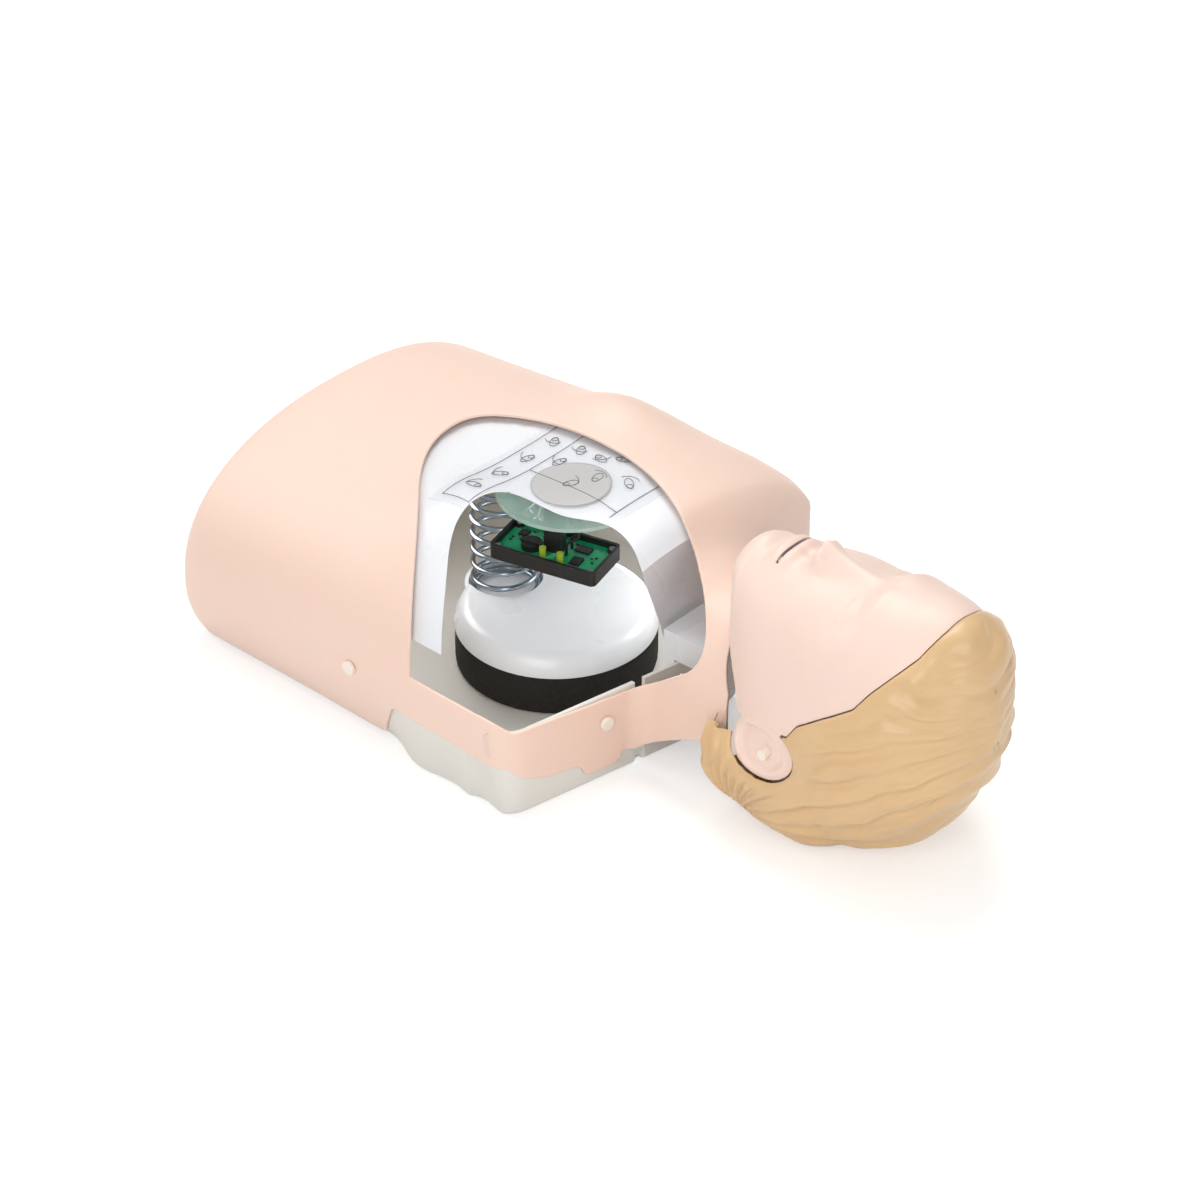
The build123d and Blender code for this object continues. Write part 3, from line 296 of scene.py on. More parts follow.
def grid_faces(rows, columns, closed=False):
    """Quads of a grid of points, row by row."""
    faces = []
    for i in range(rows - 1):
        for j in range(columns if closed else columns - 1):
            a, b = i * columns + j, i * columns + (j + 1) % columns
            faces.append((a, b, b + columns, a + columns))
    return faces


def settle(piece):
    """Make a piece's modifiers part of its mesh."""
    graph = bpy.context.evaluated_depsgraph_get()
    mesh = bpy.data.meshes.new_from_object(piece.evaluated_get(graph))
    piece.modifiers.clear()
    old = piece.data
    piece.data = mesh
    bpy.data.meshes.remove(old)
    mesh.name = piece.name
    return piece


def outward(piece):
    """Turn all the faces of a closed piece outwards."""
    shape = bmesh.new()
    shape.from_mesh(piece.data)
    bmesh.ops.remove_doubles(shape, verts=shape.verts, dist=1e-6)
    bmesh.ops.recalc_face_normals(shape, faces=shape.faces)
    shape.to_mesh(piece.data)
    shape.free()
    return piece


def trim(vertices, faces, field, snap):
    """Cut a surface along field = 0 and keep what is positive. Points near the cut move onto it."""
    vertices = np.array(vertices, float)
    value = field(vertices)
    reach = 0.5
    near = np.abs(value) < snap
    if near.any():
        points = vertices[near]
        slope = np.stack([(field(points + step) - field(points - step)) / (2 * reach)
                          for step in np.eye(3) * reach], axis=1)
        length = np.maximum((slope ** 2).sum(axis=1), 0.2)
        vertices[near] = points - slope * (value[near] / length)[:, None]
        value[near] = 0.0
    shape = bmesh.new()
    for point in vertices:
        shape.verts.new(point)
    shape.verts.ensure_lookup_table()
    for face in faces:
        shape.faces.new([shape.verts[k] for k in face])
    mark = {vert: value[k] for k, vert in enumerate(shape.verts)}
    for edge in list(shape.edges):
        a, b = edge.verts
        if mark[a] * mark[b] < 0:
            _, middle = bmesh.utils.edge_split(edge, a, mark[a] / (mark[a] - mark[b]))
            mark[middle] = 0.0
    for face in list(shape.faces):
        signs = [mark[v] for v in face.verts]
        if min(signs) < 0 < max(signs):
            ends = [v for v in face.verts if mark[v] == 0]
            if len(ends) == 2:
                bmesh.utils.face_split(face, ends[0], ends[1])
    drop = [f for f in shape.faces if sum(mark[v] for v in f.verts) <= 0]
    bmesh.ops.delete(shape, geom=drop, context="FACES")
    loose = [v for v in shape.verts if not v.link_faces]
    bmesh.ops.delete(shape, geom=loose, context="VERTS")
    return shape


def thicken(name, shape, wall, rounding):
    """A shell from a trimmed surface, with its wall inside and its edges rounded."""
    for vert in shape.verts:
        vert.co = placed(vert.co)
    bmesh.ops.recalc_face_normals(shape, faces=shape.faces)
    mesh = bpy.data.meshes.new(name)
    shape.to_mesh(mesh)
    shape.free()
    piece = shown(name, mesh)
    solid = piece.modifiers.new("wall", "SOLIDIFY")
    solid.thickness = wall * MM
    solid.offset = -1
    solid.use_quality_normals = True
    edge = piece.modifiers.new("edge", "BEVEL")
    edge.width = rounding * MM
    edge.segments = 2
    edge.angle_limit = radians(50)
    edge.use_clamp_overlap = False
    return settle(piece)


def dress(node, name, look, sharp):
    """A merged, smoothly shaded copy of a rigid part that stands for it."""
    mesh = frame["nodes"][node].data.copy()
    mesh.materials.clear()
    shape = bmesh.new()
    shape.from_mesh(mesh)
    bmesh.ops.remove_doubles(shape, verts=shape.verts, dist=2e-6)
    bmesh.ops.dissolve_degenerate(shape, edges=shape.edges, dist=1e-6)
    limit = radians(sharp)
    for edge in shape.edges:
        edge.smooth = len(edge.link_faces) == 2 and edge.calc_face_angle(0) < limit
    shape.to_mesh(mesh)
    shape.free()
    return finish_piece(shown(name, mesh), look, frame["nodes"][node]["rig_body"], node)


def finish_piece(piece, look, body, *nodes):
    """Material, body and the parts that a piece stands for."""
    material, slot = look
    piece.data.materials.clear()
    piece.data.materials.append(material)
    if body:
        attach(piece, body)
    if nodes:
        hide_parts(*nodes)
    return piece


# Repeats and wires

def node_tree(name, sockets):
    """Geometry tree with named inputs and one geometry output."""
    tree = bpy.data.node_groups.new(name, "GeometryNodeTree")
    for label, kind in sockets:
        tree.interface.new_socket(name=label, in_out="INPUT", socket_type=kind)
    tree.interface.new_socket(name="Geometry", in_out="OUTPUT", socket_type="NodeSocketGeometry")
    return tree, tree.nodes.new("NodeGroupInput"), tree.nodes.new("NodeGroupOutput")


def finish_tree(tree, take, give, geometry):
    """Real geometry with its material, at the end of a tree."""
    real = tree.nodes.new("GeometryNodeRealizeInstances")
    cover = tree.nodes.new("GeometryNodeSetMaterial")
    tree.links.new(geometry, real.inputs["Geometry"])
    tree.links.new(real.outputs["Geometry"], cover.inputs["Geometry"])
    tree.links.new(take.outputs["Material"], cover.inputs["Material"])
    tree.links.new(cover.outputs["Geometry"], give.inputs["Geometry"])
    return tree


def repeat_tree():
    """Copies of a piece on the points of a mesh, each turned by a random angle of its own."""
    tree, take, give = node_tree("repeat_on_points", [
        ("Points", "NodeSocketGeometry"), ("Piece", "NodeSocketObject"), ("Twist", "NodeSocketFloat"),
        ("Seed", "NodeSocketInt"), ("Material", "NodeSocketMaterial")])
    piece = tree.nodes.new("GeometryNodeObjectInfo")
    twist = tree.nodes.new("FunctionNodeRandomValue")
    twist.data_type = "FLOAT"
    turn = tree.nodes.new("ShaderNodeCombineXYZ")
    place = tree.nodes.new("GeometryNodeInstanceOnPoints")
    tree.links.new(take.outputs["Piece"], piece.inputs["Object"])
    tree.links.new(take.outputs["Twist"], twist.inputs[3])
    tree.links.new(take.outputs["Seed"], twist.inputs["Seed"])
    tree.links.new(twist.outputs[1], turn.inputs["Z"])
    tree.links.new(take.outputs["Points"], place.inputs["Points"])
    tree.links.new(piece.outputs["Geometry"], place.inputs["Instance"])
    tree.links.new(turn.outputs["Vector"], place.inputs["Rotation"])
    return finish_tree(tree, take, give, place.outputs["Instances"])


def wire_tree():
    """Round wire along the edges of a mesh, with closed ends."""
    tree, take, give = node_tree("wire_along_path", [
        ("Path", "NodeSocketGeometry"), ("Radius", "NodeSocketFloat"), ("Sides", "NodeSocketInt"),
        ("Material", "NodeSocketMaterial")])
    line = tree.nodes.new("GeometryNodeMeshToCurve")
    ring = tree.nodes.new("GeometryNodeCurvePrimitiveCircle")
    wire = tree.nodes.new("GeometryNodeCurveToMesh")
    wire.inputs["Fill Caps"].default_value = True
    tree.links.new(take.outputs["Path"], line.inputs["Mesh"])
    tree.links.new(take.outputs["Radius"], ring.inputs["Radius"])
    tree.links.new(take.outputs["Sides"], ring.inputs["Resolution"])
    tree.links.new(line.outputs["Curve"], wire.inputs["Curve"])
    tree.links.new(ring.outputs["Curve"], wire.inputs["Profile Curve"])
    return finish_tree(tree, take, give, wire.outputs["Mesh"])


def grown(name, vertices, edges, tree, values):
    """A piece that a geometry tree makes from points or paths in metres."""
    mesh = bpy.data.meshes.new(name)
    mesh.from_pydata([tuple(v) for v in vertices], edges, [])
    piece = shown(name, mesh)
    modifier = piece.modifiers.new("grow", "NODES")
    modifier.node_group = tree
    named = {item.name: item.identifier for item in tree.interface.items_tree
             if item.in_out == "INPUT"}
    for key, value in values.items():
        modifier[named[key]] = value
    settle(piece)
    piece.data.polygons.foreach_set("use_smooth", [True] * len(piece.data.polygons))
    return piece


def repeated(name, spots, model, look, twist=0.0, seed=1):
    """Copies of a small model on spots in metres. The model itself is removed."""
    piece = grown(name, spots, [], REPEAT, {
        "Piece": model, "Twist": twist, "Seed": seed, "Material": look[0]})
    bpy.data.objects.remove(model, do_unlink=True)
    return piece


def wired(name, paths, radius, look, sides=8):
    """Round wires along paths in millimetres. A closed path repeats its first point."""
    vertices, edges = [], []
    for line in paths:
        line = np.asarray(line, float)
        start = len(vertices)
        closed = np.allclose(line[0], line[-1])
        line = line[:-1] if closed else line
        vertices += list(placed(line))
        edges += [(start + k, start + k + 1) for k in range(len(line) - 1)]
        if closed:
            edges.append((start + len(line) - 1, start))
    return grown(name, vertices, edges, WIRE, {
        "Radius": radius * MM, "Sides": sides, "Material": look[0]})


REPEAT = repeat_tree()
WIRE = wire_tree()


# Materials

def group_socket(group, name, kind, way, value=None):
    socket = group.interface.new_socket(name=name, in_out=way, socket_type=kind)
    if value is not None:
        socket.default_value = value
    return socket


def moulded_group():
    """Colour drift, fine grain and uneven gloss of a moulded surface."""
    group = bpy.data.node_groups.new("moulded_surface", "ShaderNodeTree")
    group_socket(group, "Colour", "NodeSocketColor", "INPUT")
    group_socket(group, "Drift Colour", "NodeSocketColor", "INPUT")
    group_socket(group, "Drift Size", "NodeSocketFloat", "INPUT", 12.0)
    group_socket(group, "Drift", "NodeSocketFloat", "INPUT", 0.3)
    group_socket(group, "Grain Size", "NodeSocketFloat", "INPUT", 900.0)
    group_socket(group, "Grain", "NodeSocketFloat", "INPUT", 0.1)
    group_socket(group, "Roughness", "NodeSocketFloat", "INPUT", 0.4)
    group_socket(group, "Uneven", "NodeSocketFloat", "INPUT", 0.08)
    group_socket(group, "Colour", "NodeSocketColor", "OUTPUT")
    group_socket(group, "Roughness", "NodeSocketFloat", "OUTPUT")
    group_socket(group, "Normal", "NodeSocketVector", "OUTPUT")
    nodes, links = group.nodes, group.links
    take = nodes.new("NodeGroupInput")
    give = nodes.new("NodeGroupOutput")
    where = nodes.new("ShaderNodeTexCoord")
    drift = nodes.new("ShaderNodeTexNoise")
    drift.inputs["Detail"].default_value = 2.0
    amount = nodes.new("ShaderNodeMath")
    amount.operation = "MULTIPLY"
    tint = nodes.new("ShaderNodeMix")
    tint.data_type = "RGBA"
    grain = nodes.new("ShaderNodeTexNoise")
    grain.inputs["Detail"].default_value = 1.0
    bump = nodes.new("ShaderNodeBump")
    bump.inputs["Distance"].default_value = 0.0002
    centred = nodes.new("ShaderNodeMath")
    centred.operation = "SUBTRACT"
    centred.inputs[1].default_value = 0.5
    gloss = nodes.new("ShaderNodeMath")
    gloss.operation = "MULTIPLY_ADD"
    for texture, size in ((drift, "Drift Size"), (grain, "Grain Size")):
        links.new(where.outputs["Object"], texture.inputs["Vector"])
        links.new(take.outputs[size], texture.inputs["Scale"])
    links.new(drift.outputs["Fac"], amount.inputs[0])
    links.new(take.outputs["Drift"], amount.inputs[1])
    links.new(amount.outputs[0], tint.inputs["Factor"])
    links.new(take.outputs["Colour"], tint.inputs["A"])
    links.new(take.outputs["Drift Colour"], tint.inputs["B"])
    links.new(tint.outputs["Result"], give.inputs["Colour"])
    links.new(grain.outputs["Fac"], bump.inputs["Height"])
    links.new(take.outputs["Grain"], bump.inputs["Strength"])
    links.new(bump.outputs["Normal"], give.inputs["Normal"])
    links.new(drift.outputs["Fac"], centred.inputs[0])
    links.new(centred.outputs[0], gloss.inputs[0])
    links.new(take.outputs["Uneven"], gloss.inputs[1])
    links.new(take.outputs["Roughness"], gloss.inputs[2])
    links.new(gloss.outputs[0], give.inputs["Roughness"])
    return group


MOULDED = moulded_group()


def colour(red, green, blue):
    """A display colour as the renderer's linear one."""
    def linear(part):
        return part / 12.92 if part <= 0.04045 else ((part + 0.055) / 1.055) ** 2.4
    return (linear(red), linear(green), linear(blue), 1.0)


def moulded(name, slot, tone, drift_tone, **values):
    """A moulded material. Values name the group's inputs or the shader's plain sockets."""
    material = bpy.data.materials.new(name)
    material.use_nodes = True
    nodes, links = material.node_tree.nodes, material.node_tree.links
    shader = nodes["Principled BSDF"]
    surface = nodes.new("ShaderNodeGroup")
    surface.node_tree = MOULDED
    surface.inputs["Colour"].default_value = tone
    surface.inputs["Drift Colour"].default_value = drift_tone
    links.new(surface.outputs["Colour"], shader.inputs["Base Color"])
    links.new(surface.outputs["Roughness"], shader.inputs["Roughness"])
    links.new(surface.outputs["Normal"], shader.inputs["Normal"])
    for key, value in values.items():
        socket = key.replace("_", " ")
        owner = surface if socket in surface.inputs else shader
        owner.inputs[socket].default_value = value
    return material, slot


LOOK = {
    "vinyl": moulded(
        "peach_vinyl", "torso_skin", colour(0.97, 0.85, 0.785), colour(0.955, 0.815, 0.745),
        Drift=0.5, Drift_Size=9.0, Grain=0.10, Grain_Size=1400.0, Roughness=0.42,
        Subsurface_Weight=0.12, Subsurface_Scale=0.004, Subsurface_Radius=(1.0, 0.45, 0.25)),
    "face": moulded(
        "pale_vinyl", "face_skin", colour(0.965, 0.86, 0.805), colour(0.95, 0.82, 0.76),
        Drift=0.45, Drift_Size=22.0, Grain=0.08, Grain_Size=1500.0, Roughness=0.43,
        Subsurface_Weight=0.15, Subsurface_Scale=0.004, Subsurface_Radius=(1.0, 0.45, 0.3)),
    "hair": moulded(
        "tan_moulded_hair", "hair_plastic", colour(0.885, 0.745, 0.56), colour(0.82, 0.67, 0.48),
        Drift=0.6, Drift_Size=25.0, Grain=0.06, Grain_Size=1300.0, Roughness=0.30,
        Subsurface_Weight=0.04, Subsurface_Scale=0.003, Subsurface_Radius=(1.0, 0.6, 0.3)),
    "base": moulded(
        "off_white_base", "base_plastic", colour(0.905, 0.895, 0.865), colour(0.88, 0.865, 0.83),
        Drift=0.5, Drift_Size=14.0, Grain=0.35, Grain_Size=2400.0, Roughness=0.46, Uneven=0.12),
    "white": moulded(
        "white_plastic", "white_plastic", colour(0.94, 0.945, 0.955), colour(0.90, 0.91, 0.93),
        Drift=0.4, Drift_Size=16.0, Grain=0.05, Grain_Size=1800.0, Roughness=0.28,
        Coat_Weight=0.25, Coat_Roughness=0.12),
    "button": moulded(
        "button_plastic", "button", colour(0.975, 0.93, 0.88), colour(0.955, 0.89, 0.83),
        Drift=0.4, Drift_Size=60.0, Grain=0.08, Grain_Size=2000.0, Roughness=0.35),
    "foam": moulded(
        "dark_foam", "foam", colour(0.155, 0.135, 0.125), colour(0.085, 0.075, 0.07),
        Drift=0.9, Drift_Size=420.0, Grain=0.9, Grain_Size=1100.0, Roughness=0.92, Uneven=0.1),
    "black": moulded(
        "black_plastic", "black_plastic", colour(0.10, 0.095, 0.095), colour(0.14, 0.13, 0.13),
        Drift=0.5, Drift_Size=60.0, Grain=0.3, Grain_Size=2600.0, Roughness=0.42),
    "grey": moulded(
        "grey_pad", "grey_plastic", colour(0.74, 0.74, 0.745), colour(0.69, 0.69, 0.70),
        Drift=0.4, Drift_Size=40.0, Grain=0.2, Grain_Size=2200.0, Roughness=0.5),
    "steel": moulded(
        "plated_wire", "spring_steel", colour(0.66, 0.70, 0.73), colour(0.54, 0.59, 0.63),
        Drift=0.7, Drift_Size=120.0, Grain=0.15, Grain_Size=3000.0, Roughness=0.18, Uneven=0.2,
        Metallic=1.0),
    "screw": moulded(
        "screw_steel", "screw_steel", colour(0.60, 0.60, 0.62), colour(0.50, 0.50, 0.52),
        Drift=0.6, Drift_Size=300.0, Grain=0.2, Grain_Size=3000.0, Roughness=0.3, Metallic=1.0),
    "board": moulded(
        "board_lacquer", "board", colour(0.13, 0.66, 0.45), colour(0.08, 0.55, 0.36),
        Drift=0.8, Drift_Size=260.0, Grain=0.12, Grain_Size=1600.0, Roughness=0.25),
    "can": moulded(
        "yellow_green_sleeve", "board_part", colour(0.72, 0.80, 0.25), colour(0.55, 0.66, 0.18),
        Drift=0.6, Drift_Size=300.0, Grain=0.1, Grain_Size=2400.0, Roughness=0.35),
    "wire": moulded(
        "wire_cover", "wire_cover", colour(0.07, 0.07, 0.075), colour(0.12, 0.12, 0.12),
        Drift=0.5, Drift_Size=200.0, Grain=0.1, Grain_Size=2400.0, Roughness=0.4),
    "print": moulded(
        "grey_print", "clear_film", colour(0.30, 0.31, 0.33), colour(0.50, 0.51, 0.53),
        Drift=0.9, Drift_Size=180.0, Grain=0.1, Grain_Size=2400.0, Roughness=0.5),
    "field": moulded(
        "grey_field", "grey_plastic", colour(0.84, 0.83, 0.825), colour(0.80, 0.79, 0.79),
        Drift=0.4, Drift_Size=40.0, Grain=0.1, Grain_Size=2200.0, Roughness=0.4, Alpha=0.75),
    "trace": moulded(
        "board_trace", "board", colour(0.45, 0.85, 0.62), colour(0.34, 0.74, 0.52),
        Drift=0.5, Drift_Size=300.0, Grain=0.1, Grain_Size=2400.0, Roughness=0.3),
    "clear": moulded(
        "clear_plastic", "clear_plastic", colour(0.84, 0.96, 0.91), colour(0.78, 0.93, 0.86),
        Drift=0.4, Drift_Size=40.0, Grain=0.02, Grain_Size=900.0, Roughness=0.08, Uneven=0.03,
        Alpha=0.45, Coat_Weight=0.4, Coat_Roughness=0.05),
    "film": moulded(
        "clear_film", "clear_film", colour(0.97, 0.975, 0.985), colour(0.94, 0.95, 0.97),
        Drift=0.4, Drift_Size=30.0, Grain=0.03, Grain_Size=600.0, Roughness=0.16, Uneven=0.04,
        Alpha=0.22, Coat_Weight=0.3, Coat_Roughness=0.08),
}


# Torso

def eased(share):
    share = np.clip(share, 0.0, 1.0)
    return share * share * (3 - 2 * share)


def torso_rows():
    """Stations as x, half width, crown height and widest level."""
    rows = [(a * BODY_LENGTH, w * HALF_WIDTH, h * CHEST_HEIGHT,
             WAIST_LEVEL + (WIDEST_LEVEL - WAIST_LEVEL) * eased(a * BODY_LENGTH / LEVEL_RUN))
            for a, w, h in BODY_STATIONS]
    for along, wide, high, level in SHOULDER_STATIONS:
        rows.append((BODY_LENGTH + along * SHOULDER_RUN,
                     COLLAR_HALF_WIDTH + wide * (HALF_WIDTH - COLLAR_HALF_WIDTH),
                     COLLAR_TOP + high * (CHEST_HEIGHT - COLLAR_TOP),
                     WIDEST_LEVEL + level * (COLLAR_LEVEL - WIDEST_LEVEL)))
    return rows


def front_limit(y):
    """Furthest x of the chest at each y: two slanted lines with rounded corners, open at the collar."""
    y = np.abs(y)
    line = FRONT_REACH - FRONT_SLOPE * y
    turn = np.arctan2(1.0, FRONT_SLOPE) / 2
    reach = CORNER_ROUND * np.tan(turn)
    middle_x = FRONT_REACH - FRONT_SLOPE * HALF_WIDTH - reach
    middle_y = HALF_WIDTH - CORNER_ROUND
    corner = middle_x + np.sqrt(np.clip(CORNER_ROUND ** 2 - (y - middle_y) ** 2, 0, None))
    tangent = middle_y + CORNER_ROUND * FRONT_SLOPE / np.hypot(1.0, FRONT_SLOPE)
    limit = np.where(y > tangent, corner, line)
    inner = COLLAR_HALF_WIDTH + 0.3
    into = np.clip(inner + COLLAR_FLARE - y, 0, COLLAR_FLARE)
    limit = limit + COLLAR_FLARE - np.sqrt(COLLAR_FLARE ** 2 - into ** 2)
    return np.where(y > inner, limit, 1e4)


def torso_points(x, turn, inset=0.0):
    """Torso surface at x, for turn from 0 on the near lower edge to 1 on the far one."""
    x, turn = np.broadcast_arrays(np.asarray(x, float), np.asarray(turn, float))
    half, crown, level = np.moveaxis(even_rows(torso_rows(), x), -1, 0)
    half, crown = half - inset, crown - inset
    fold = np.abs(2 * turn - 1)
    side_share = 0.20
    below = np.clip((fold - 1 + side_share) / side_share, 0, 1)
    angle = pi / 2 * (1 - np.clip(fold / (1 - side_share), 0, 1))
    lift = np.sin(angle) ** (2 / ROUNDNESS)
    wide = half * np.cos(angle) ** (2 / ROUNDNESS)
    drop = (level - FLAP_LEVEL) * below
    tuck = WAIST_TUCK + (FRONT_TUCK - WAIST_TUCK) * eased((x - FLAP_END + TUCK_BEFORE) / TUCK_RUN)
    wide = np.where(below > 0, half * (1 - (1 - tuck) * (drop / level) ** 2), wide)
    breast = BREAST_RISE * np.exp(-((x - BREAST_X) / BREAST_SPREAD) ** 2
                                  - ((wide - BREAST_Y) / BREAST_SPREAD) ** 2)
    z = level + (crown - level) * lift + breast * np.sin(angle) ** 0.5
    z = np.where(below > 0, level - drop, z)
    return np.stack([np.minimum(x, front_limit(wide)), np.sign(turn - 0.5) * wide, z], axis=-1)


def torso_surface():
    """Grid of the outer surface, from the lip of the waist end to the collar."""
    lip = np.linspace(-END_LIP - 4, 0, 12)[:-1]
    along = np.concatenate([np.linspace(0, 18, 10), np.linspace(18, BODY_LENGTH, 84)[1:],
                            np.linspace(BODY_LENGTH, BODY_LENGTH + SHOULDER_RUN, 50)[1:]])
    turns = np.linspace(0, 1, 181)
    end = np.stack([torso_points(0.0, turns, -depth) for depth in lip])
    body = torso_points(along[:, None], turns[None, :])
    grid = np.concatenate([end, body])
    rows, columns = grid.shape[:2]
    faces = [tuple(reversed(face)) for face in grid_faces(rows, columns)]
    return grid.reshape(-1, 3), faces


def window_distance(points):
    """Distance outside the display window, for points on its side of the body."""
    right, up, _ = view_axes()
    offset = points - np.array(CAMERA_TARGET)
    curve = smooth_curve(WINDOW_CURVE, 90)
    corner = rounded_corner(WINDOW_CURVE[-1], WINDOW_CORNER, WINDOW_CURVE[0], 10.0)
    outline = np.concatenate([curve, corner])
    distance = -outline_distance(outline, offset @ right, offset @ up)
    return np.where(points[:, 1] < CUT_SIDE_LIMIT, distance, 50.0)


def rounded_corner(before, corner, after, radius):
    """Points that round a corner."""
    before, corner, after = (np.array(p, float) for p in (before, corner, after))
    a = (before - corner) / np.linalg.norm(before - corner)
    b = (after - corner) / np.linalg.norm(after - corner)
    half = np.arccos(np.clip(a @ b, -1, 1)) / 2
    reach = radius / np.tan(half)
    t = np.linspace(0, 1, 9)[:, None]
    start, end = corner + a * reach, corner + b * reach
    return start * (1 - t) ** 2 + 2 * corner * t * (1 - t) + end * t ** 2


def hem_distance(points):
    """Distance above the skin's lower and collar edges."""
    collar = BODY_LENGTH + SHOULDER_RUN
    foot = (FLAP_END - FLAP_LEAN, FLAP_LEVEL)
    step = (FLAP_END, SIDE_EDGE)
    outline = [(-60, FLAP_LEVEL)]
    outline += map(tuple, rounded_corner(outline[0], foot, step, FLAP_ROUND))
    outline += map(tuple, rounded_corner(foot, step, FRONT_EDGE[0], STEP_ROUND))
    outline += FRONT_EDGE + [
        (collar, COLLAR_EDGE), (collar, COLLAR_BEND), (collar - COLLAR_LEAN, COLLAR_TOP + 5),
        (collar + 40, COLLAR_TOP + 5), (collar + 40, -40), (-60, -40)]
    distance = -outline_distance(outline, points[:, 0], points[:, 2])
    tab = np.minimum(TAB_WIDTH / 2 - np.abs(np.abs(points[:, 1]) - TAB_Y), points[:, 2] - TAB_LEVEL)
    tab = np.where(points[:, 0] > BODY_LENGTH - 10, tab, -50.0)
    return np.maximum(distance, tab)


def lip_distance(points):
    """Distance outside the opening of the waist end."""
    turns = np.linspace(0, 1, 61)
    rim = torso_points(0.0, turns, END_LIP)
    outline = np.concatenate([rim[:, 1:], [(rim[-1, 1], -20), (rim[0, 1], -20)]])
    distance = -outline_distance(outline, points[:, 1], points[:, 2])
    return np.where(points[:, 0] < 1, distance, 50.0)


def skin_distance(points):
    return np.minimum(np.minimum(window_distance(points), hem_distance(points)), lip_distance(points))


def make_chest_skin():
    vertices, faces = torso_surface()
    shape = trim(vertices, faces, skin_distance, 0.8)
    skin = thicken("chest_skin", shape, SKIN, 0.6)
    skin.data.materials.append(LOOK["vinyl"][0])
    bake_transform(skin)
    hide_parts("torso_skin")
    return skin


# Head

def head_rows():
    """Stations as x, front level, back level, half width and widest level."""
    return [(HEAD_START + a * HEAD_LENGTH, front * HEAD_DEPTH, back * HEAD_DEPTH,
             wide * HEAD_HALF_WIDTH, level * HEAD_DEPTH) for a, front, back, wide, level in HEAD_STATIONS]


def nose(x, y):
    """Nose with its tip, wings and nostrils."""
    tip = HEAD_START + 0.303 * HEAD_LENGTH
    bridge = HEAD_START + 0.535 * HEAD_LENGTH
    along = np.clip((bridge - x) / (bridge - tip), 0, 1)
    ridge = 17.0 * along ** 1.25 * swell(y, 0, 7.5 + 5.5 * along)
    under = 17.0 * np.exp(-(np.clip(tip - x, 0, None) / 6.0) ** 2) * swell(y, 0, 13)
    rise = np.where(x > tip, ridge, under)
    rise += 5.5 * swell(x, tip + 1, 6.5) * swell(np.abs(y), 11.5, 4.2)
    rise += 1.5 * swell(x, tip + 2, 6) * swell(y, 0, 6)
    rise -= 3.5 * swell(x, tip - 4.5, 2.6) * swell(np.abs(y), 5.6, 2.6)
    rise -= 1.3 * swell(x, tip + 6, 5) * swell(np.abs(y), 16.5, 3.0)
    return rise


def face_relief(x, y):
    """Rise of a calm, closed-eyed face over the plain head."""
    side = np.abs(y)
    eye_line = HEAD_START + HEAD_LENGTH / 2
    eye = HEAD_HALF_WIDTH * 0.41
    rise = nose(x, y)
    rise += 3.4 * swell(x, eye_line + 17, 8.5) * swell(side, 24, 27)
    rise -= 8.0 * swell(x, eye_line, 12) * swell(side, eye - 1, 16)
    rise += 6.0 * swell(x, eye_line - 1, 8.2) * swell(side, eye, 12)
    lid = eye_line - 4.5 + 0.010 * (side - eye) ** 2
    within = 1 / (1 + np.exp((np.abs(side - eye) - 13) / 1.2))
    rise -= 1.0 * swell(x, lid, 0.9) * within
    rise += 0.5 * swell(x, lid + 1.8, 1.1) * within
    crease = eye_line + 6.5 - 0.016 * (side - eye) ** 2
    rise -= 0.8 * swell(x, crease, 1.3) * within
    rise += 3.2 * swell(x, eye_line - 38, 19) * swell(side, eye + 10, 15)
    rise -= 1.6 * swell(x, eye_line + 24, 16) * swell(side, 66, 12)
    mouth = MOUTH_X
    fade = 1 / (1 + np.exp((side - 20) / 2.5))
    rise += 3.6 * swell(x, mouth + 5.2 - 0.003 * side ** 2, 4.6) * fade
    rise += 4.2 * swell(x, mouth - 5.6 + 0.002 * side ** 2, 4.9) * fade
    rise -= 0.8 * swell(x, mouth + 12, 6) * swell(y, 0, 2.8)
    rise += 0.4 * swell(x, mouth + 13, 6) * swell(side, 5.5, 2.0)
    rise -= 0.9 * swell(x, mouth, 4) * swell(side, 24.5, 3.0)
    fold = 16 + (HEAD_START + 68 - x) * 0.5
    rise -= 0.7 * swell(side, fold, 3.0) * swell(x, mouth + 13, 11)
    rise -= 2.6 * swell(x, mouth - 15, 5) * swell(y, 0, 17)
    return rise + 3.6 * swell(x, HEAD_START + 13, 10) * swell(y, 0, 16)


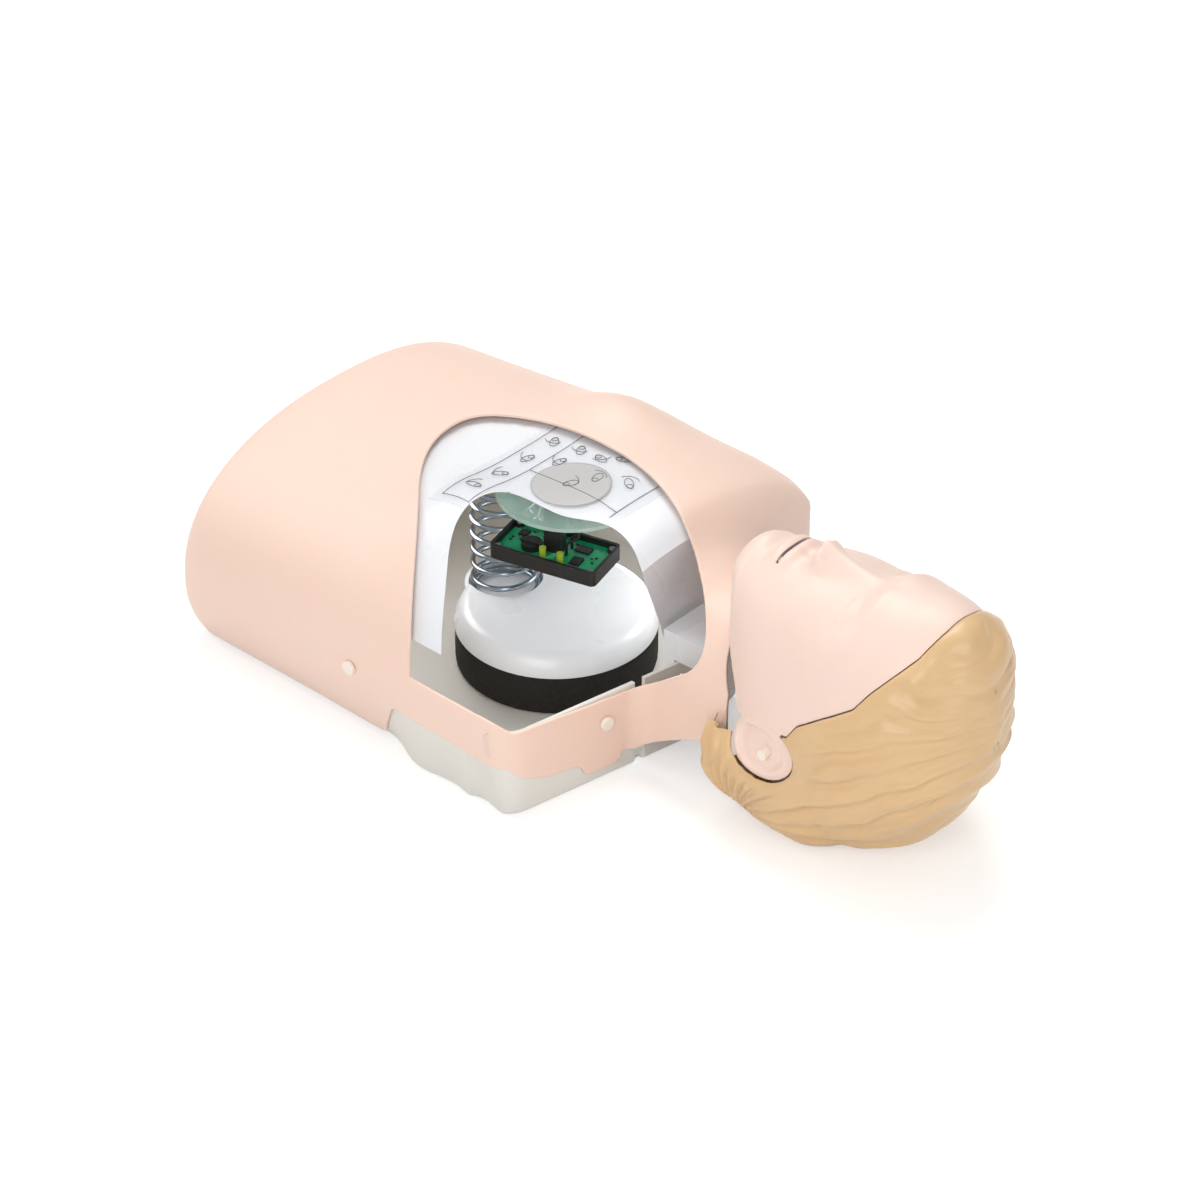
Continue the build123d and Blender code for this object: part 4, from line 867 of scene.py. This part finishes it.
def head_points(x, turn):
    """Head surface at x, for turn from 0 in the middle of the face, all the way round to 1."""
    x, turn = np.broadcast_arrays(np.asarray(x, float), np.asarray(turn, float))
    front, back, half, level = np.moveaxis(even_rows(head_rows(), x), -1, 0)
    nape_half, nape_back = np.moveaxis(even_rows(NAPE_STATIONS, x), -1, 0)
    within = (x >= NAPE_STATIONS[0][0]) & (x < NAPE_STATIONS[-1][0])
    back = np.where(within, np.minimum(back, nape_back), back)
    fold = 1 - np.abs(2 * turn - 1)
    side = np.where(turn < 0.5, 1.0, -1.0)
    a = pi / 2 * np.clip(2 * fold, 0, 1)
    b = pi / 2 * np.clip(2 - 2 * fold, 0, 1)
    ahead = fold < 0.5
    lift = np.cos(a) ** (2 / HEAD_ROUNDNESS)
    y = half * np.where(ahead, np.sin(a) ** (2 / HEAD_ROUNDNESS), np.sin(b))
    z = np.where(ahead, level + (front - level) * lift, level - (level - back) * np.cos(b))
    low = np.clip((NAPE_LEVEL - z) / np.maximum(NAPE_LEVEL - back, 1), 0, 1)
    up = np.clip((z - NAPE_LEVEL) / NAPE_RISE, 0, 1)
    nape = np.where(z < NAPE_LEVEL, (1 - low ** NAPE_ROUNDNESS) ** (1 / NAPE_ROUNDNESS),
                    np.sqrt(1 - up ** 2))
    fading = np.clip((x - NAPE_STATIONS[-1][0]) / NAPE_FADE + 1, 0, 1) ** 2
    nape = nape * np.where(within, np.maximum(nape_half * (1 - fading), 0.01), 0.01)
    y = np.where(ahead, y, (y ** NAPE_BLEND + nape ** NAPE_BLEND) ** (1 / NAPE_BLEND))
    z = z + np.where(ahead, face_relief(x, y) * lift, 0)
    return np.stack([x, side * y, z], axis=-1)


def face_outline():
    return HAIRLINE + JAWLINE + [(FACE_FAR_X, -30), (FACE_FAR_X, 250)]


def face_distance(points):
    """Distance inside the face skin's outline seen from the side, ears included."""
    x, z = points[:, 0], points[:, 2]
    face = outline_distance(face_outline(), x, z)
    across, up = EAR_WIDTH / 2 + EAR_BORDER, EAR_HEIGHT / 2 + EAR_BORDER
    ear = (1 - np.hypot((x - EAR_X) / across, (z - EAR_Z) / up)) * min(across, up)
    return np.maximum(face, ear)


def collar_distance(points):
    """Distance outside the room that the head leaves for the collar, at rest and tilted back."""
    reach = BODY_LENGTH + SHOULDER_RUN + COLLAR_MARGIN
    top = COLLAR_TOP + COLLAR_GAP
    low = COLLAR_EDGE - 2 * COLLAR_GAP
    outline = [(reach - 66, low), (reach, low), (reach, COLLAR_BEND + COLLAR_GAP),
               (reach - COLLAR_LEAN, top), (reach - 66, top)]
    turn = radians(TILT)
    clear = np.full(len(points), 1e9)
    for angle in (0.0, turn):
        dx, dz = points[:, 0] - NECK_X, points[:, 2] - NECK_Z
        x = NECK_X + dx * cos(angle) - dz * sin(angle)
        z = NECK_Z + dx * sin(angle) + dz * cos(angle)
        flat = COLLAR_HALF_WIDTH + COLLAR_GAP - COLLAR_ROUND
        corner = np.hypot(np.maximum(np.abs(points[:, 1]) - flat, 0),
                          np.maximum(z - (top - COLLAR_ROUND), 0))
        inside = np.minimum(outline_distance(outline, x, z), COLLAR_ROUND - corner)
        clear = np.minimum(clear, -inside)
    return clear


LOCK_START = (470.0, 20.0)
LOCK_END = (668.0, 135.0)
LOCKS = 26.0
CROWN_TURN = 0.55
BIG_LOCK = 4.4
FINE_LOCK = 1.1
HAIR_LOWEST = -2.3


def hair_locks(points, line):
    """Height of the moulded locks, which sweep from the nape to the crown in wide arcs."""
    x, z = points[:, 0], points[:, 2]
    mirrored = points * (1, 0.55, 1) + (0, 400, 0)
    wander = fractal(mirrored, 60.0)
    start = np.arctan2(z - LOCK_START[1], x - LOCK_START[0])
    end = np.arctan2(z - LOCK_END[1], x - LOCK_END[0]) % tau
    phase = (start - CROWN_TURN * end) / tau * LOCKS + 0.45 * wander
    wave = (phase + 0.35) % 1.0
    big = np.where(wave < 0.4, wave / 0.4, (1 - wave) / 0.6)
    big = np.sin(big * pi / 2) ** 1.7
    fine_phase = 2.6 * phase + 0.9 * fractal(mirrored + 60, 34.0, 2)
    fine = 1 - np.abs(2 * (fine_phase % 1.0) - 1) ** 1.6
    near_end = 1 - np.exp(-((x - LOCK_END[0]) ** 2 + (z - LOCK_END[1]) ** 2) / 44.0 ** 2)
    strength = np.clip(0.9 + 0.5 * fractal(mirrored + 90, 42.0, 2), 0.35, 1.3) * near_end
    roll = 2.0 * swell(line, 7.0, 5.5)
    height = BIG_LOCK * big + FINE_LOCK * fine
    return strength * height * (1 - 0.6 * swell(line, 4.0, 6.0)) + roll + 1.2 * wander


def ear_relief(x, z):
    """Height of the flush ear on the face skin: a raised border, a fold and a shallow bowl."""
    across = (x - EAR_X) / (EAR_WIDTH / 2)
    up = (z - EAR_Z) / (EAR_HEIGHT / 2)
    ring = np.hypot(across, up)
    round_ear = np.arctan2(up, across)
    border = 2.3 * swell(ring, 0.88, 0.11) - 1.4 * swell(ring, 0.66, 0.12)
    fold = 1.3 * swell(ring, 0.46, 0.11) * (0.5 + 0.5 * np.cos(round_ear - 0.4))
    bowl = -1.5 * swell(ring, 0.0, 0.34)
    inside = 1 / (1 + np.exp((ring - 1.0) / 0.035))
    slot = -1.6 * swell(x, EAR_X + 3, 4.0) * swell(z, EAR_Z + 9, 1.3)
    return (border + fold + bowl + slot + 0.8) * inside


def head_surface():
    """Grid of the whole head, closed at both ends."""
    shares = 1 - (1 - np.linspace(0, 1, 176)) ** 1.25
    along = HEAD_START + shares * HEAD_STATIONS[-1][0] * HEAD_LENGTH
    turns = np.linspace(0, 1, 321)[:-1]
    grid = head_points(along[:, None], turns[None, :])
    rows, columns = grid.shape[:2]
    vertices = list(grid.reshape(-1, 3))
    faces = grid_faces(rows, columns, closed=True)
    for row, bulge in ((0, -1.0), (rows - 1, 3.0)):
        centre = grid[row].mean(axis=0)
        inner = row * columns
        for share, rise in ((0.7, 0.5), (0.4, 0.85), (0.15, 0.98)):
            ring = centre + (grid[row] - centre) * share + (bulge * rise, 0, 0)
            start = len(vertices)
            vertices.extend(ring)
            for j in range(columns):
                k = (j + 1) % columns
                face = (inner + j, inner + k, start + k, start + j)
                faces.append(face if row else tuple(reversed(face)))
            inner = start
        vertices.append(centre + (bulge, 0, 0))
        for j in range(columns):
            face = (inner + j, inner + (j + 1) % columns, len(vertices) - 1)
            faces.append(face if row else tuple(reversed(face)))
    return np.array(vertices), faces


def surface_normals(vertices, faces):
    mesh = bpy.data.meshes.new("measure")
    mesh.from_pydata([tuple(v) for v in vertices], [], faces)
    normals = np.zeros(len(vertices) * 3)
    mesh.vertices.foreach_get("normal", normals)
    bpy.data.meshes.remove(mesh)
    return normals.reshape(-1, 3)


def neck_end(points):
    """Positive ahead of the nape's open end, and above it."""
    return np.maximum(points[:, 0] - NAPE_STATIONS[0][0] - 0.5, points[:, 2] - NAPE_LEVEL - NAPE_RISE - 1)


def make_head():
    """Face skin and hair shell, from one surface."""
    vertices, faces = head_surface()
    normals = surface_normals(vertices, faces)
    centre = np.array([EAR_X + 30, 0.0, 105.0])
    if ((vertices - centre) * normals).sum() < 0:
        faces = [tuple(reversed(face)) for face in faces]
        normals = -normals
    face_side = face_distance(vertices)
    rise = 1 - np.exp(-np.clip(-face_side - 0.5, 0, None) / 7.0)
    line = np.clip(-face_side, 0, None)
    proud = 2.2 * (1 - np.exp(-line / 1.5))
    haired = vertices + normals * (hair_locks(vertices, line) * rise + proud)[:, None]
    haired[:, 2] = np.maximum(haired[:, 2], HAIR_LOWEST)
    ears = ear_relief(vertices[:, 0], vertices[:, 2]) * (np.abs(vertices[:, 1]) > 40)
    vertices = vertices + normals * ears[:, None]

    def face_field(points):
        slit = np.maximum(np.abs(points[:, 0] - MOUTH_X) - 1.2, np.abs(points[:, 1]) - 21)
        slit = np.where(points[:, 2] > 150, slit, 50.0)
        own = np.minimum(np.minimum(face_distance(points), collar_distance(points)), slit)
        return np.minimum(own, neck_end(points))

    def hair_field(points):
        gap = -outline_distance(NECK_GAP, points[:, 0], points[:, 2])
        seam = 0.5 + 1.3 * swell(np.hypot(points[:, 0] - EAR_X, points[:, 2] - EAR_Z + 8), 0, 22)
        own = np.minimum(-face_distance(points) - seam, collar_distance(points))
        return np.minimum(np.minimum(own, gap), neck_end(points))

    face = thicken("face_skin_piece", trim(vertices, faces, face_field, 0.35), FACE_WALL, 0.45)
    hair = thicken("hair_shell", trim(haired, faces, hair_field, 0.35), HAIR_WALL, 0.6)
    finish_piece(face, LOOK["face"], "head", "face_skin")
    finish_piece(hair, LOOK["hair"], "head", "head_shell")


# Spring and foam

SPRING_WIRE = 4.2
SPRING_TURNS = 10.0
CLOSED_TURNS = 0.9
FOAM_TUCK = 2.6
FOAM_TUCK_FADE = 1.6
FOAM_GRAIN = 0.3
FOAM_SLACK = 0.4


def make_spring():
    """Plated wire spring with closed ends."""
    low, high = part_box("compression_spring")
    radius = (high.x - low.x) / MM / 2 - SPRING_WIRE / 2
    centre = (low.x + high.x) / 2
    bottom, top = low.z / MM + SPRING_WIRE / 2, high.z / MM - SPRING_WIRE / 2
    t = np.linspace(0, SPRING_TURNS, 721)
    ends = CLOSED_TURNS * SPRING_WIRE * 0.9
    inner = np.clip((t - CLOSED_TURNS) / (SPRING_TURNS - 2 * CLOSED_TURNS), 0, 1)
    last = (t - SPRING_TURNS + CLOSED_TURNS) / CLOSED_TURNS
    lift = ends * (np.clip(t / CLOSED_TURNS, 0, 1) + np.clip(last, 0, 1))
    a = tau * t + 0.6
    path = np.stack([ORIGIN_X + centre / MM + radius * np.cos(a), radius * np.sin(a),
                     bottom + lift + inner * (top - bottom - 2 * ends)], axis=1)
    spring = wired("wire_spring", [path], SPRING_WIRE / 2, LOOK["steel"], 16)
    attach(spring, "base")
    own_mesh(spring)
    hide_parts("compression_spring")


def make_foam():
    """Foam block with soft edges, a little smaller round than its solid."""
    low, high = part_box("foam_block")
    radius = (high.x - low.x) / 2
    centre = (low + high) / 2
    rows, spokes = 40, 144
    height = high.z - low.z
    vertices = []
    for i in range(rows):
        t = i / (rows - 1)
        z = low.z + height * t
        edge = min(t, 1 - t) * height
        tuck = FOAM_TUCK * MM * np.exp(-edge / (FOAM_TUCK_FADE * MM))
        for k in range(spokes):
            a = tau * k / spokes
            grain = FOAM_GRAIN * MM * noise.noise(Vector((cos(a) * 22, sin(a) * 22, z * 260)))
            r = radius - tuck + grain - FOAM_SLACK * MM
            vertices.append((centre.x + r * cos(a), r * sin(a), z))
    faces = grid_faces(rows, spokes, closed=True)
    for row, z in ((0, low.z), (rows - 1, high.z)):
        start = len(vertices)
        vertices.append((centre.x, 0, z))
        for k in range(spokes):
            faces.append((row * spokes + k, row * spokes + (k + 1) % spokes, start))
    foam = outward(new_object("foam_cushion", vertices, faces))
    finish_piece(foam, LOOK["foam"], "base", "foam_block")


# Board, screws and print

TRAY_X = 255.5
TRAY_Y = -27.0
TRAY_FLOOR = 118.0
TRAY_TURN = 14.0
BOARD_TOP = 7.1
BOSS_TOP = 9.0
SCREW_SPOTS = [(38.9, 17.4), (38.9, -17.4), (-38.9, 17.4), (-38.9, -17.4)]
TRACE_RADIUS = 0.22


def on_tray(points):
    """Points of the tray's own layout, from the middle of its underside, in the part's layout."""
    points = np.asarray(points, float)
    turn = radians(TRAY_TURN)
    x = TRAY_X + points[:, 0] * cos(turn) - points[:, 1] * sin(turn)
    y = TRAY_Y + points[:, 0] * sin(turn) + points[:, 1] * cos(turn)
    return np.stack([x, y, TRAY_FLOOR + points[:, 2]], axis=1)


def lathe(name, profile, spokes=28, relief=None):
    """A turned piece from radius and height, in millimetres, standing on the z axis."""
    vertices = []
    for radius, height in profile:
        for k in range(spokes):
            a = tau * k / spokes
            drop = relief(radius * cos(a), radius * sin(a)) if relief else 0.0
            vertices.append((radius * cos(a), radius * sin(a), height - drop))
    faces = grid_faces(len(profile), spokes, closed=True)
    faces += [tuple(range(spokes)), tuple(reversed(range(len(vertices) - spokes, len(vertices))))]
    return outward(new_object(name, np.array(vertices) * MM, faces))


def cross_recess(x, y):
    """Depth of a cross recess in a screw head, and none at its rim."""
    if np.hypot(x, y) >= 2.2:
        return 0.0
    arm = min(abs(x), abs(y))
    return 0.75 / (1 + np.exp((arm - 0.38) / 0.06)) / (1 + np.exp((np.hypot(x, y) - 1.5) / 0.08))


def make_screws():
    head = [(1.2, -5.0), (1.2, 0.0), (2.55, 0.05), (2.6, 0.7), (2.45, 1.25)]
    head += [(r, 1.8 - 0.09 * r * r) for r in np.linspace(2.2, 0.12, 22)]
    spots = on_tray([(x, y, BOSS_TOP) for x, y in SCREW_SPOTS])
    model = lathe("screw_model", head, 48, cross_recess)
    screws = repeated("corner_screws", placed(spots), model, LOOK["screw"], twist=pi, seed=4)
    finish_piece(screws, LOOK["screw"], "chest", "tray_screws")


def box_model(name, length, width, height):
    """A small standing block, turned with the tray."""
    turn = radians(TRAY_TURN)
    vertices = []
    for z in (0, height):
        for x, y in ((-1, -1), (1, -1), (1, 1), (-1, 1)):
            x, y = x * length / 2, y * width / 2
            vertices.append((x * cos(turn) - y * sin(turn), x * sin(turn) + y * cos(turn), z))
    faces = [(3, 2, 1, 0), (4, 5, 6, 7), (0, 1, 5, 4), (1, 2, 6, 5), (2, 3, 7, 6), (3, 0, 4, 7)]
    return new_object(name, np.array(vertices) * MM, faces, smooth=False)


def make_board_details():
    """Legs, pads, small parts and traces on the board."""
    legs = []
    for x, y, length, width in ((20, 8, 12, 8), (22, -8, 8, 10), (-30, 8, 7, 7)):
        for k in np.linspace(-0.4, 0.4, 6):
            for side in (1, -1):
                legs.append((x + k * length, y + side * (width / 2 + 0.6), BOARD_TOP))
    leg = box_model("leg_model", 0.7, 1.2, 0.9)
    piece = repeated("chip_legs", placed(on_tray(legs)), leg, LOOK["screw"])
    finish_piece(piece, LOOK["screw"], "chest")
    pads = [(x, y, BOARD_TOP) for x in np.arange(-36, 37, 3.0) for y in (14.2, -15.4)]
    pads += [(x, y, BOARD_TOP) for x in (4.0, 7.0) for y in np.arange(-6, 12, 2.4)]
    pad = lathe("pad_model", [(0.75, -0.02), (0.75, 0.14), (0.6, 0.2), (0.3, 0.3)], 14)
    piece = repeated("solder_pads", placed(on_tray(pads)), pad, LOOK["screw"])
    finish_piece(piece, LOOK["screw"], "chest")
    small = [(-36, -3), (-36, 1), (30, 1), (33, 3), (-8, 12), (-3, 11), (33, -4), (-24, 13), (12, 13)]
    model = box_model("small_part_model", 2.0, 1.2, 0.8)
    piece = repeated("small_parts", placed(on_tray([(x, y, BOARD_TOP) for x, y in small])), model,
                     LOOK["black"])
    finish_piece(piece, LOOK["black"], "chest")
    lines = []
    for k in range(7):
        y = 12.4 - 1.3 * k
        lines.append([(-38 + 2 * k, y), (-20 - k, y), (-16 - k, y - 4 + 0.5 * k), (-9, y - 4 + 0.5 * k)])
        lines.append([(13, y - 3), (9 + k, y - 3), (5, y - 8), (-2 + k, -14.0 + 0.4 * k)])
    paths = [on_tray([(x, y, BOARD_TOP) for x, y in line]) for line in lines]
    finish_piece(wired("traces", paths, TRACE_RADIUS, LOOK["trace"], 6), LOOK["trace"], "chest")


def film_surface():
    """A search for the film's upper face below any x and y of the part's layout."""
    mesh = frame["nodes"]["airway_bag"].data
    tree = BVHTree.FromPolygons([v.co.copy() for v in mesh.vertices],
                                [tuple(p.vertices) for p in mesh.polygons])

    def drop(points, lift):
        found = []
        for x, y in points:
            start = Vector(placed((x, y, 260.0)))
            hit = tree.ray_cast(start, Vector((0, 0, -1)))[0]
            if hit is not None:
                found.append((x, y, hit.z / MM + lift))
        return found
    return drop


def line_between(a, b, count=24):
    t = np.linspace(0, 1, count)[:, None]
    return np.array(a) * (1 - t) + np.array(b) * t


def oval(x, y, long, short, turn, start=0.0, end=1.0, count=22):
    a = tau * np.linspace(start, end, count)
    u, v = long * np.cos(a), short * np.sin(a)
    return np.stack([x + u * cos(turn) - v * sin(turn), y + u * sin(turn) + v * cos(turn)], axis=1)


PRINT_LIFT = 0.36
PRINT_RADIUS = 0.26
FIELD_X = 262.0
FIELD_Y = -16.0
FIELD_RADIUS = 30.0


def make_print():
    """Plain frame lines and small shapes printed on the film, and the round grey field."""
    drop = film_surface()
    frame_line = [(198, -86), (310, -86), (310, 86), (198, 86), (198, -86)]
    lines = [line_between(a, b, 60) for a, b in zip(frame_line, frame_line[1:])]
    lines += [line_between((224, -86), (224, 86), 60), line_between((224, -20), (310, -20), 40)]
    lines += [line_between((224, 40), (310, 40), 40)]
    for k, (x, y) in enumerate(((211, -66), (211, -38), (211, -8), (211, 22), (211, 52), (240, 58),
                                (240, 74), (284, 60), (294, 12), (240, -66), (288, -66),
                                (234, 2), (236, 24), (256, 24), (270, 34), (262, -16), (272, 2))):
        turn = 0.7 * k
        lines.append(oval(x, y, 6.0, 3.4, turn))
        lines.append(oval(x + 4 * cos(turn), y + 4 * sin(turn), 2.4, 2.4, 0.0))
        lines.append(oval(x - 2, y + 3, 7.5, 5.0, turn + 1.2, 0.05, 0.42))
    paths = []
    for line in lines:
        path = drop(line, PRINT_LIFT)
        if len(path) > 2:
            paths.append(path)
    finish_piece(wired("print_lines", paths, PRINT_RADIUS, LOOK["print"], 6), LOOK["print"], "chest")
    rings, spokes = 14, 72
    vertices, faces = [], []
    for lift in (0.30, 0.16):
        flat = [(FIELD_X + r * cos(tau * k / spokes), FIELD_Y + r * sin(tau * k / spokes))
                for r in np.linspace(FIELD_RADIUS, 0.6, rings) for k in range(spokes)]
        vertices += drop(flat, lift)
    count = rings * spokes
    if len(vertices) != 2 * count:
        return
    for layer in (0, 1):
        for face in grid_faces(rings, spokes, closed=True):
            face = tuple(layer * count + v for v in face)
            faces.append(face if layer == 0 else tuple(reversed(face)))
        inner = tuple(range((layer + 1) * count - spokes, (layer + 1) * count))
        faces.append(inner if layer else tuple(reversed(inner)))
    faces += [(k, (k + 1) % spokes, count + (k + 1) % spokes, count + k) for k in range(spokes)]
    disc = outward(new_object("grey_field", placed(vertices), faces))
    finish_piece(disc, LOOK["field"], "chest")


# Rigid parts

def dress_rigid_parts():
    for node, name, look, sharp in (
            ("base_tray", "base_shell", "base", 40),
            ("skin_buttons", "snap_buttons", "button", 40),
            ("guide_dome", "dome", "white", 30),
            ("spring_seat", "spring_cup", "white", 30),
            ("chest_plate", "plate", "white", 40),
            ("clear_disc", "clear_plate", "clear", 30),
            ("airway_bag", "film_sheet", "film", 30),
            ("sensor_pad", "grey_disc", "grey", 30),
            ("electronics_tray", "black_tray", "black", 35),
            ("circuit_board", "green_board", "board", 30),
            ("tray_hanger", "tray_post", "black", 30),
            ("battery_holder", "cell_holder", "black", 30),
            ("board_chips", "chips", "black", 30),
            ("board_capacitors", "cans", "can", 30),
            ("sensor_leads", "leads", "wire", 40),
            ("neck_beam", "beam", "white", 30),
            ("neck_pin", "hinge_pin", "screw", 30),
            ("ear_pegs", "pegs", "button", 30),
            ("jaw_pins", "pivots", "white", 30),
            ("jaw", "jaw_frame", "white", 40),
            ("head_yoke", "yoke", "white", 30),
            ("airway_tube", "airway", "white", 40)):
        dress(node, name, LOOK[look], sharp)


# Stage

def make_stage():
    half = FLOOR_HALF * MM
    corners = [(-half, -half, 0), (half, -half, 0), (half, half, 0), (-half, half, 0)]
    floor = new_object("studio_floor", corners, [(0, 1, 2, 3)])
    material = bpy.data.materials.new("studio_white")
    material.use_nodes = True
    nodes, links = material.node_tree.nodes, material.node_tree.links
    shader = nodes["Principled BSDF"]
    shader.inputs["Base Color"].default_value = (0.78, 0.78, 0.78, 1)
    shader.inputs["Roughness"].default_value = 0.9
    shader.inputs["Specular IOR Level"].default_value = 0.1
    path = nodes.new("ShaderNodeLightPath")
    seen = nodes.new("ShaderNodeMath")
    seen.operation = "MAXIMUM"
    links.new(path.outputs["Is Camera Ray"], seen.inputs[0])
    links.new(path.outputs["Is Glossy Ray"], seen.inputs[1])
    also = nodes.new("ShaderNodeMath")
    also.operation = "MAXIMUM"
    links.new(seen.outputs[0], also.inputs[0])
    links.new(path.outputs["Is Transmission Ray"], also.inputs[1])
    glow = nodes.new("ShaderNodeMath")
    glow.operation = "MULTIPLY"
    glow.inputs[1].default_value = 0.40
    links.new(also.outputs[0], glow.inputs[0])
    links.new(glow.outputs[0], shader.inputs["Emission Strength"])
    shader.inputs["Emission Color"].default_value = (1, 1, 1, 1)
    floor.data.materials.append(material)

    world = bpy.data.worlds.new("studio_world")
    world.use_nodes = True
    bpy.context.scene.world = world
    nodes, links = world.node_tree.nodes, world.node_tree.links
    path = nodes.new("ShaderNodeLightPath")
    seen = nodes.new("ShaderNodeMath")
    seen.operation = "MAXIMUM"
    links.new(path.outputs["Is Camera Ray"], seen.inputs[0])
    links.new(path.outputs["Is Transmission Ray"], seen.inputs[1])
    strength = nodes.new("ShaderNodeMapRange")
    strength.inputs["To Min"].default_value = 0.44
    strength.inputs["To Max"].default_value = 1.0
    links.new(seen.outputs[0], strength.inputs["Value"])
    links.new(strength.outputs[0], nodes["Background"].inputs["Strength"])
    nodes["Background"].inputs["Color"].default_value = (1, 1, 1, 1)


def lamp(name, place, size, power, aim=(0.08, 0.0, 0.08)):
    light = bpy.data.lights.new(name, "AREA")
    light.shape = "SQUARE"
    light.size = size
    light.energy = power
    piece = bpy.data.objects.new(name, light)
    piece.location = place
    piece.rotation_mode = "QUATERNION"
    piece.rotation_quaternion = (Vector(aim) - Vector(place)).to_track_quat("-Z", "Y")
    bpy.context.scene.collection.objects.link(piece)


def make_lights():
    lamp("key_over", (-0.5, 0.7, 2.2), 1.3, 27)
    lamp("side_fill", (-1.7, -0.6, 1.3), 1.4, 8)
    lamp("plate_fill", (1.3, -0.2, 0.5), 0.5, 2.0, placed((320.0, -60.0, 90.0)))
    lamp("window_fill", (0.75, -1.75, 1.25), 1.3, 17)
    lamp("cavity_back", placed((320.0, 95.0, 118.0)), 0.07, 0.10, placed((215.0, -40.0, 60.0)))
    lamp("cavity_left", placed((110.0, -40.0, 120.0)), 0.07, 0.08, placed((215.0, -60.0, 50.0)))
    lamp("cavity_floor", placed((200.0, 120.0, 60.0)), 0.07, 0.05, placed((230.0, -40.0, 120.0)))


def make_camera():
    _, _, back = view_axes()
    data = bpy.data.cameras.new("display_view")
    data.lens = CAMERA_LENS
    data.sensor_width = 36.0
    data.clip_end = 50.0
    camera = bpy.data.objects.new("display_view", data)
    bpy.context.scene.collection.objects.link(camera)
    camera.location = Vector(placed(CAMERA_TARGET)) + Vector(back) * CAMERA_DISTANCE * MM
    camera.rotation_mode = "QUATERNION"
    camera.rotation_quaternion = (-Vector(back)).to_track_quat("-Z", "Y")
    bpy.context.scene.camera = camera
    bpy.context.scene.view_settings.view_transform = "Standard"


make_camera()
make_stage()
make_lights()
make_chest_skin()
make_head()
make_spring()
make_foam()
dress_rigid_parts()
make_screws()
make_board_details()
make_print()
